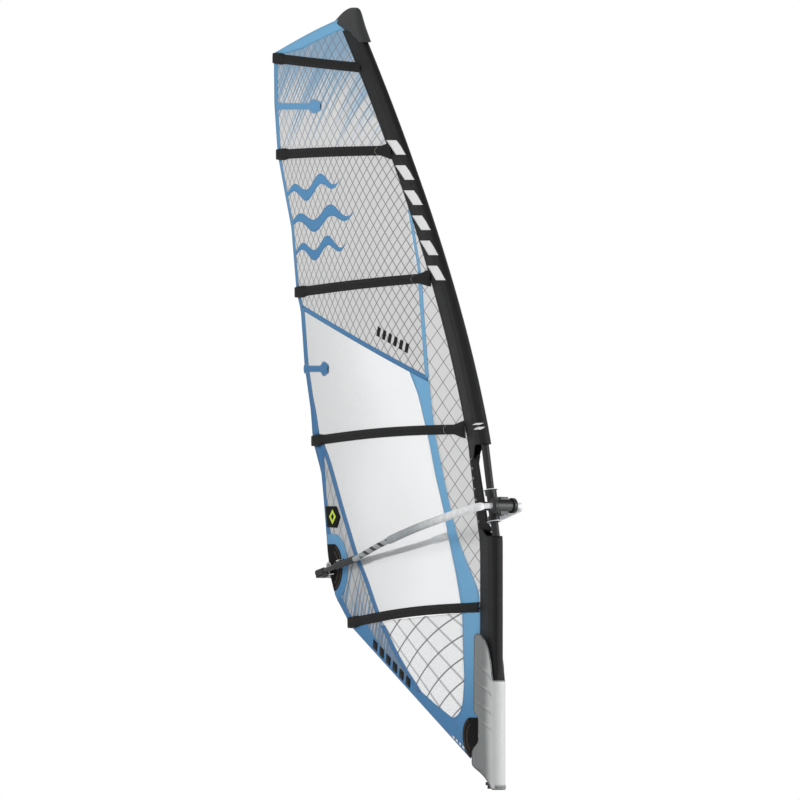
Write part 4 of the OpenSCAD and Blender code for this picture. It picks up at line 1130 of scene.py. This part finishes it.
def sleeve_outline(z, grow=0.0):
    """Points across the mast from the seam round the front and back to the seam."""
    r = sleeve_half(z) + grow
    depth = SLEEVE_DEPTH + 2 * grow
    control = [(0.0, 0.004), (0.20, 0.26 * r + 0.002), (0.38, 0.56 * r), (0.70, 0.87 * r), (1.0, r)]
    lean = (mast_x(z - 0.001) - mast_x(z + 0.001)) / 0.002
    stretch = math.sqrt(1 + lean * lean)
    half = []
    for t in steps(0, 1, SLEEVE_SIDES):
        if t < 0.6:
            share = t / 0.6
            half.append((mix(-depth, 0, share), faired(control, share, 0.04)))
        else:
            a = math.pi / 2 * (1 - (t - 0.6) / 0.4)
            half.append((r * stretch * math.cos(a), r * math.sin(a)))
    return [(x, -y) for x, y in half] + [(x, y) for x, y in reversed(half[:-1])]


def crease(u, z, side):
    """Small folds of slack cloth, strongest by the openings."""
    near = max(math.exp(-abs(z - 1.76) / 0.10), math.exp(-abs(z - 1.30) / 0.09), 0.12)
    slow = math.sin(23 * z + 5 * u) * math.sin(7.3 * z - 3 * u + side)
    fast = math.sin(64 * z + 11 * u + 2 * side) * math.sin(17 * z)
    return 0.0011 * near * slow + 0.0006 * near * fast


def sleeve_wall(low, high, rows):
    """Rings of a sleeve between two edges given as height against the way forward."""
    rings = []
    for r in range(rows + 1):
        outline = sleeve_outline(mix(low(-SLEEVE_DEPTH), high(-SLEEVE_DEPTH), r / rows))
        ring = []
        for k, (x, y) in enumerate(outline):
            z = mix(low(x), high(x), r / rows)
            push = crease(k / len(outline), z, 1 if y > 0 else -1)
            wide = math.hypot(x * 0.2, y) or 1
            ring.append(Vector((mast_x(z) + x, y + push * y / wide, z)))
        rings.append(ring)
    return rings


def open_tube(name, rings, replaced):
    """A sewn tube of sleeve cloth, joined at its seam and open at both ends."""
    points = [p for ring in rings for p in ring]
    faces = grid_faces(len(rings), len(rings[0]), wrap=True)
    thing = thicken(piece(name, points, faces, BLACK_SLEEVE), CLOTH, -1.0)
    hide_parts(replaced)
    grid = [ring + ring[:1] for ring in rings]
    grid_size(grid)
    grid_area(grid)


def opening_top(x):
    """Lower edge of the upper sleeve: an arch over the mast."""
    return mix(1.690, 1.762, ease((x + 0.100) / 0.062)) + 0.05 * max(0, x)


def opening_bottom(x):
    return mix(1.330, 1.296, ease((x + 0.095) / 0.06))


def sleeve_top(x):
    return 3.872 - 0.15 * max(0, x + 0.1)


def sleeve_foot(_):
    return 0.226


def sleeve():
    open_tube("upper_sleeve", sleeve_wall(opening_top, sleeve_top, 150), "sleeve_upper")
    open_tube("lower_sleeve", sleeve_wall(sleeve_foot, opening_bottom, 70), "sleeve_lower")
    band = []
    for z in steps(1.318, 1.712, 40):
        front = mix(0.054, 0.076, clamp01((z - 1.327) / 0.383))
        front -= 0.03 * (1 - ease((z - 1.318) / 0.05)) + 0.02 * ease((z - 1.66) / 0.05)
        band.append([Vector((mast_x(z) - place, 0, z))
                     for place in steps(SLEEVE_DEPTH + 0.003, front, 6)])
    cloth("eyelet_band", [band], BLACK_SLEEVE, thickness=0.0068)
    runs = [proud([row[column] for row in band], 0.0036, side) for side in (-1, 1)
            for column in (1, 5)]
    stitches("band_stitching", runs, DARK_THREAD)
    rear = []
    for side in (-1, 1):
        for low, high in ((0.24, 1.32), (1.70, 3.80)):
            rear.append(([Vector((luff_x(z) + 0.012, side * (0.0072 + 0.02 * sleeve_half(z)), z))
                          for z in steps(low, high, 60)], (0, side, 0)))
    stitches("sleeve_stitching", rear, DARK_THREAD)


def sleeve_patch(q_low, q_high, z_low, z_high, slide):
    """A print on the starboard side of the sleeve; q goes from its seam to its front."""
    grid = []
    for up in steps(0, 1, 14):
        z = mix(z_low, z_high, up)
        outline = sleeve_outline(z, 0.0006)
        half = outline[:len(outline) // 2 + 1]
        row = []
        for share in steps(q_low, q_high, 6):
            q = clamp01(share + slide * (up - 0.5)) * (len(half) - 1)
            i = min(int(q), len(half) - 2)
            x, y = (mix(half[i][k], half[i + 1][k], q - i) for k in (0, 1))
            row.append(Vector((mast_x(z) + x, y, z)))
        grid.append(row)
    return grid


def sleeve_prints():
    """A row of pale slanting bars along the upper sleeve, and two small ones by its opening."""
    bars = [sleeve_patch(0.16, 0.62, z - 0.060, z + 0.014, -0.22)
            for z in (3.300 - 0.128 * i for i in range(6))]
    cloth("sleeve_bars", bars, PRINT_WHITE, thickness=0.0005)
    marks = [sleeve_patch(0.52, 0.86, 1.838, 1.852, 0.2),
             sleeve_patch(0.50, 0.84, 1.862, 1.872, 0.2)]
    cloth("sleeve_mark", marks, PRINT_WHITE, thickness=0.0005)


# head cap: height, rear end, front, half width
CAP = [(3.812, -1.178, -1.089, 0.0270), (3.850, -1.262, -1.112, 0.0275),
       (3.884, -1.312, -1.132, 0.0265), (3.910, -1.402, -1.144, 0.0245),
       (3.926, -1.372, -1.150, 0.0225), (3.953, -1.334, -1.160, 0.0190),
       (3.972, -1.300, -1.168, 0.0150), (3.984, -1.270, -1.175, 0.0100),
       (3.991, -1.238, -1.192, 0.0040)]


def head_cap():
    heights = [c[0] for c in CAP]
    tables = [list(zip(heights, [c[k] for c in CAP])) for k in (1, 2, 3)]
    rings = []
    for i in range(41):
        z = mix(heights[0], heights[-1], i / 40)
        rear, front, r = (faired(table, z, 0.004) for table in tables)
        nose = front - r
        ring = []
        for k in range(48):
            a = math.tau * k / 48
            if math.cos(a) >= 0:
                ring.append(Vector((nose + 1.2 * r * math.cos(a), r * math.sin(a), z)))
            else:
                back = -math.cos(a)
                thin = (1 - back ** 1.6) * 0.9 + 0.1
                ring.append(Vector((nose + (rear - nose) * back ** 0.9, r * math.sin(a) * thin
                                    if abs(math.sin(a)) > 0.02 else 0.0, z)))
        rings.append(ring)
    cap = loft("cap", rings, CAP_CLOTH)
    soften = cap.modifiers.new("smooth", "SUBSURF")
    soften.levels = soften.render_levels = 1
    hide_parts("head_cap")
    run = [p + Vector((0, 0, 0.006)) for p in rings[1]]
    lifted = [p + (p - Vector((rings[1][0].x - 0.03, 0, p.z))).normalized() * 0.0012 for p in run]
    runs = [(lifted[k:k + 12], (0, 1 if k < 24 else -1, 0)) for k in (0, 12, 24, 36)]
    stitches("cap_stitching", runs, DARK_THREAD)


# ------------------------------------------------------------------ tack fairing
FAIRING_R = 0.043
FAIRING_REAR = [(0, -0.040), (0.126, -0.168), (0.205, -0.164), (0.241, -0.112), (0.373, -0.110),
                (0.398, -0.150), (0.799, -0.146)]
# raised lenses down each side: rear height, front height, half width, rise
LENSES = [(0.672, 0.560, 0.022, 0.0095), (0.566, 0.482, 0.022, 0.0098),
          (0.466, 0.384, 0.021, 0.0092), (0.362, 0.306, 0.017, 0.0070)]


def fairing_relief(s, z):
    """How far the pad's skin stands out at a place round it and at a height."""
    way = abs(s)
    far = clamp01((way - 0.42) / 0.58)
    rise = 0.0
    for rear, front, half, high in LENSES:
        across = (z - mix(front, rear, far ** 0.8)) / half
        along = 0.0
        if 0.44 < way < 0.94:
            along = math.sin(math.pi * clamp01((way - 0.44) / 0.50)) ** 0.5
        lens = ease(1 - abs(across)) if across > 0 else ease(1 - abs(across) * 2.6)
        rise += (high * lens - 0.0035 * math.exp(-((across + 0.55) / 0.22) ** 2)) * along
    panel = ease((z - mix(0.60, 0.70, far)) / 0.010) * ease((0.775 - z) / 0.012)
    rise += 0.0030 * panel * ease((way - 0.62) / 0.05) * ease((0.95 - way) / 0.03)
    rise += 0.0016 * ease((z - 0.262) / 0.010) * ease((way - 0.50) / 0.02) * (1 - panel)
    hollow = ease((0.30 - z) / 0.25) * ease((way - 0.40) / 0.25) * ease((0.96 - way) / 0.10)
    return rise - 0.0060 * hollow - 0.0035 * ease((way - 0.965) / 0.035)


# height of the pad's top edge against the way round it
FAIRING_TOP = [(0.38, 0.556), (0.44, 0.578), (0.50, 0.640), (0.56, 0.708), (0.66, 0.757),
               (0.80, 0.786), (0.92, 0.797), (0.97, 0.793), (1.0, 0.780)]


def fairing_high(s):
    return faired(FAIRING_TOP, abs(s), 0.02)


def fairing_low(s):
    return 0.004 + 0.122 * (max(0, abs(s) - 0.4) / 0.6) ** 1.5


def fairing_point(s, z, inset):
    r = FAIRING_R - inset
    far = max(0.0, abs(s) - 0.5) * 2
    side = -1 if s < 0 else 1
    if far == 0:
        a = s * math.pi
        flat = 1 + 0.06 * math.cos(a * 2) ** 2 * (1 if abs(a) < 0.8 else 0.4)
        return Vector((r * math.cos(a) * min(1.0, flat), r * math.sin(a), z))
    half = mix(r, 0.037 - inset, ease(far))
    return Vector((mix(0, faired(FAIRING_REAR, z, 0.012), far), side * half, z))


def fairing():
    """A pad of two skins wrapped round the foot of the mast, with a bound edge."""
    cols, rows = 160, 170
    wide = cols + 1
    points = []
    for inset in (0.0, 0.0055):
        for r in range(rows + 1):
            for s in steps(-1, 1, cols):
                z = mix(fairing_low(s), fairing_high(s), r / rows)
                # the outer skin rolls in at its ends and carries the relief
                roll = 0.0 if inset else 0.0025 * (1 - ease(min(r, rows - r) / 4))
                lift = 0.0 if inset else fairing_relief(s, z)
                points.append(fairing_point(s, z, inset + roll - lift))
    n = wide * (rows + 1)
    outer = grid_faces(rows + 1, wide)
    faces = outer + [(d + n, c + n, b + n, a + n) for a, b, c, d in outer]
    rim = (list(range(wide)) + [r * wide + cols for r in range(1, rows + 1)]
           + [rows * wide + c for c in range(cols - 1, -1, -1)]
           + [r * wide for r in range(rows - 1, 0, -1)])
    faces += [(b, a, a + n, b + n) for a, b in zip(rim, rim[1:] + rim[:1])]
    pad = piece("fairing_pad", points, faces, FAIRING_SKIN)
    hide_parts("tack_fairing")
    path = [mix(points[i], points[i + n], 0.5) for i in rim][::2]
    binding = rings_along(path + path[:1], 0.0036, sides=10, up=(0, 1, 0))
    loft("fairing_binding", binding, FAIRING_TRIM, caps=False)
    # the sole is a strip round the foot of the pad's front
    base = steps(-1, 1, cols)[57:104]
    lower, upper = ([fairing_point(s, fairing_low(s) + up, -0.0014) for s in base]
                    for up in (0.001, 0.020))
    strip = [lower, [mix(a, b, 0.5) for a, b in zip(lower, upper)], upper]
    cloth("fairing_sole", [strip], FAIRING_TRIM, thickness=0.0022)


def painted_shade_fairing_finish(name, painted_shade_side_colour, colour, roughness):
    """Foam-backed skin, with painted shade darkening its sides and painted light on its bow."""
    m = Finish(name, roughness, Sheen_Weight=0.2, Sheen_Roughness=0.4)
    skin = m.use(GRAIN, Size=0.0014)
    weave = m.use(WEAVE, Pitch=0.0030)
    slow = m.use(VARIATION, Size=0.10, Amount=0.05)
    # painted shade: the base colour goes from the lit colour at the bow to a darker, shaded colour
    # down the sides
    bow = m.ramp(m.split(m.where)[0], -0.060, 0.012)
    base = m.shaded(m.blend(bow, painted_shade_side_colour, colour), weave["Shade"], slow["Shade"])
    m.paint(m.blend(m.use(WEAR)["Mask"] * 0.25, base, WHITE))
    m.bump(skin["Height"] + weave["Height"], 0.00025)
    return m.material


# the pale skin and the dark trim both carry painted shade down their sides
FAIRING_SKIN = painted_shade_fairing_finish("pale fairing skin", rgb(116, 119, 119), rgb(188, 190, 190), 0.5)
FAIRING_TRIM = painted_shade_fairing_finish("dark fairing trim", rgb(50, 51, 52), rgb(84, 86, 88), 0.6)

# ------------------------------------------------------------------ boom grips
BOOM_FRONT, BOOM_FALL = Vector((0.047, 0.0, 1.450)), math.radians(12.9)
GRIP_R = 0.0205
# middle line of a boom arm as (aft, out)
ARM = [(0.086, 0.152), (0.200, 0.168), (0.350, 0.174), (0.500, 0.176), (0.650, 0.164),
       (0.800, 0.144)]
BEND_R = 0.076
BAND_PITCH = 0.090


def in_boom(u, y, w):
    """A place in the boom's own frame: u aft along it, y to port, w up."""
    c, s = math.cos(BOOM_FALL), math.sin(BOOM_FALL)
    return BOOM_FRONT + Vector((-u * c - w * s, y, -u * s + w * c))


def boom_print(m):
    """Mask of the boom's dark print: curved bands to starboard, broken stripes to port."""
    x, y, z = m.split(m.where)
    back = BOOM_FRONT.x - x
    # height above the boom's own plane gives the bands their curve
    above = z - BOOM_FRONT.z + back * math.tan(BOOM_FALL)
    lap = (back - (above * 1.9 + above * above * 42.0)) / BAND_PITCH
    band = m.ramp(abs(m.fract(lap) - 0.5), 0.18, 0.20, 1.0, 0.0)
    reach = m.ramp(back, 0.76, 0.78) * m.ramp(back, 1.10, 1.12, 1.0, 0.0)
    starboard = m.ramp(y, -0.01, 0.0, 1.0, 0.0)
    slide = back - above * 2.6
    chips = m.noise(m.join(slide * 15.0, above * 26.0, 0.0), 1.0, 0.0)
    far_reach = m.ramp(back, 0.34, 0.36) * (1.0 - starboard)
    far = m.ramp(chips + back * 0.14, 0.50, 0.52) * far_reach
    return back, m.math("MAXIMUM", band * reach * starboard, far)


def boom_finish(name, roughness, shine, front_colour, grain, depth):
    """Pale surface, greyer aft, under the boom's dark print."""
    m = Finish(name, roughness, Specular_IOR_Level=shine)
    back, dark = boom_print(m)
    skin = m.use(GRAIN, Size=grain)
    slow = m.use(VARIATION, Size=0.08, Amount=0.06)
    pale = m.blend(m.ramp(back, 0.15, 0.60), front_colour, rgb(150, 156, 158))
    m.paint(m.blend(dark, pale, rgb(12, 13, 14)), skin["Shade"], slow["Shade"])
    m.bump(skin["Height"], depth)
    return m.material


GRIP = boom_finish("pale foam grip", 0.62, 0.25, rgb(222, 223, 224), 0.0011, 0.0003)
FINISHES["boom_tube"] = boom_finish("painted boom tube", 0.4, DULL, rgb(206, 208, 210), 0.0030,
                                    0.0001)


def boom_grips():
    for side, name in ((-1, "starboard_grip"), (1, "port_grip")):
        bend = [(BEND_R * (1 - math.cos(a)), 0.076 + BEND_R * math.sin(a))
                for a in (math.radians(5 * k) for k in range(6, 19))]
        path = rounded_path([in_boom(u, side * y, 0) for u, y in bend + ARM], 0.012)
        count = len(path)
        def swell(i):
            end = min(i, count - 1 - i)
            return 0.0160 + (GRIP_R - 0.0160) * ease((end + 0.5) / 3.0)
        thing = loft(name, rings_along(path, swell, sides=32), GRIP)
        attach(thing, "boom")
        if side < 0:
            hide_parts("boom_grips")


# ------------------------------------------------------------------ boom head
HEAD_BODY = "boom_head"
BARREL_R, BARREL_HALF, SADDLE_HALF, SADDLE_R = 0.030, 0.072, 0.084, 0.030
RING_WIDTH = 0.022


def turned(name, profile, centre, axis, slot):
    """A ring turned from a closed profile of (radius, place along the axis)."""
    way = Vector(axis).normalized()
    side = way.orthogonal().normalized()
    other = way.cross(side)
    sides, count = 48, len(profile)
    points, faces = [], []
    for k in range(sides):
        a = math.tau * k / sides
        out = math.cos(a) * side + math.sin(a) * other
        points += [centre + r * out + along * way for r, along in profile]
        here, there = k * count, (k + 1) % sides * count
        for i in range(count):
            j = (i + 1) % count
            faces.append((here + i, here + j, there + j, there + i))
    piece(name, points, faces, FINISHES[slot], HEAD_BODY)


def rounded_ring(inner, outer, low, width, fillet):
    """Profile of a ring with its outer corners rounded."""
    high = low + width
    corners = [(inner, low)]
    for first, level in ((-90, low + fillet), (0, high - fillet)):
        for turn in range(5):
            a = math.radians(first + 22.5 * turn)
            corners.append((outer - fillet + fillet * math.cos(a), level + fillet * math.sin(a)))
    return corners + [(inner, high)]


def head_details():
    """Lipped rings on the barrel, ribs between them and pale trims at the ends of the saddle."""
    for name, low in (("barrel_ring_starboard", -BARREL_HALF),
                      ("barrel_ring_port", BARREL_HALF - RING_WIDTH)):
        profile = rounded_ring(BARREL_R + 0.0002, BARREL_R + 0.0095, low, RING_WIDTH, 0.003)
        turned(name, profile, BOOM_FRONT, (0, 1, 0), "head_plastic")
    for number in range(7):
        a = math.radians(28 + 17 * number)
        out = Vector((math.cos(a), 0, math.sin(a)))
        side = Vector((0, 1, 0)).cross(out)
        rings = []
        for share, high in ((-1, 0.0005), (-0.9, 0.0042), (0.9, 0.0042), (1, 0.0005)):
            middle = BOOM_FRONT + Vector((0, share * (BARREL_HALF - 0.026), 0))
            foot, top = middle + out * (BARREL_R - 0.001), middle + out * (BARREL_R + high)
            rings.append([foot + side * 0.0022, top + side * 0.0015, top - side * 0.0015,
                          foot - side * 0.0022])
        rib = loft(f"barrel_rib_{number + 1}", rings, FINISHES["head_plastic"], HEAD_BODY,
                   smooth=False)
    middle = Vector((mast_x(BOOM_FRONT.z), 0, BOOM_FRONT.z))
    for name, low in (("upper_trim", SADDLE_HALF - 0.004), ("lower_trim", -SADDLE_HALF)):
        profile = rounded_ring(SADDLE_R + 0.0002, SADDLE_R + 0.008, low, 0.004, 0.0015)
        turned(name, profile, middle, (LEAN, 0, 1), "clip_plastic")


# ------------------------------------------------------------------ CAD parts kept
KEPT = {
    "carbon": ["mast_lower", "mast_upper", "mast_ferrule"],
    "alloy_tube": ["extension_tube", "tack_block"],
    "black_plastic": ["extension_collar", "extension_base", "batten_tensioners", "tail_end"],
    "steel": ["base_axle", "release_spring", "head_pin", "tail_axle", "clew_ring"]
             + [f"tension_screw_{number}" for number in range(1, 6)],
    "sheave_plastic": ["base_sheave_port", "base_sheave_starboard", "tack_sheave_port",
                       "tack_sheave_starboard", "tail_sheave"],
    "red_plastic": ["release_button"],
    "line": ["downhaul_line", "outhaul_line"],
    "eyelet": ["sleeve_eyelets"],
    "batten_rod": ["battens"],
    "head_plastic": ["head_body", "barrel_cap", "head_strap", "head_lever"],
    "rubber": ["head_gasket"],
    "boom_tube": ["boom_tube"],
    "collar_plastic": ["boom_collars"],
    "clip_plastic": ["tail_clip_starboard", "tail_clip_port"],
    "black_tube": ["tail_legs"],
}


def finish_cad_parts():
    for finish, names in KEPT.items():
        for name in names:
            for slot in NODE[name].material_slots:
                slot.material = FINISHES[finish]


FLOOR_R, FLOOR_Z = 9, -0.002
ROOM_LIGHT, SEEN_WHITE = 0.62, 1.0


def add_room():
    """A pale floor under an even white sky, with one broad lamp each side."""
    floor = bpy.data.meshes.new("floor")
    turns = [math.tau * k / 64 for k in range(64)]
    rim = [(FLOOR_R * math.cos(a), FLOOR_R * math.sin(a), FLOOR_Z) for a in turns]
    floor.from_pydata(rim, [], [tuple(range(len(rim)))])
    paint = Finish("pale floor", 0.7)
    slow = paint.use(VARIATION, Size=1.5, Amount=0.01)
    paint.paint(WHITE, slow["Shade"])
    floor.materials.append(paint.material)
    thing = bpy.data.objects.new("floor", floor)
    bpy.context.scene.collection.objects.link(thing)
    world = bpy.data.worlds.new("white room")
    bpy.context.scene.world = world
    world.use_nodes = True
    b = Bench(world.node_tree)
    sky = world.node_tree.nodes["Background"]
    sky.inputs["Color"].default_value = (1, 1, 1, 1)
    seen = b.source("LightPath", "Is Camera Ray")
    b.feed(sky.inputs["Strength"], b.ramp(seen, 0, 1, ROOM_LIGHT, SEEN_WHITE))
    bpy.context.scene.view_settings.view_transform = "Standard"
    add_lamp("key lamp", (-1.0, -7.0, 5.0), (2.5, 2.5), 190)
    add_lamp("bow lamp", (4.6, 3.2, 2.0), (0.7, 4.0), 260)


panels()
foot_panels()
tapes()
pockets()
short_battens()
patches()
prints()
sleeve()
sleeve_prints()
head_cap()
fairing()
boom_grips()
head_details()
finish_cad_parts()
add_room()
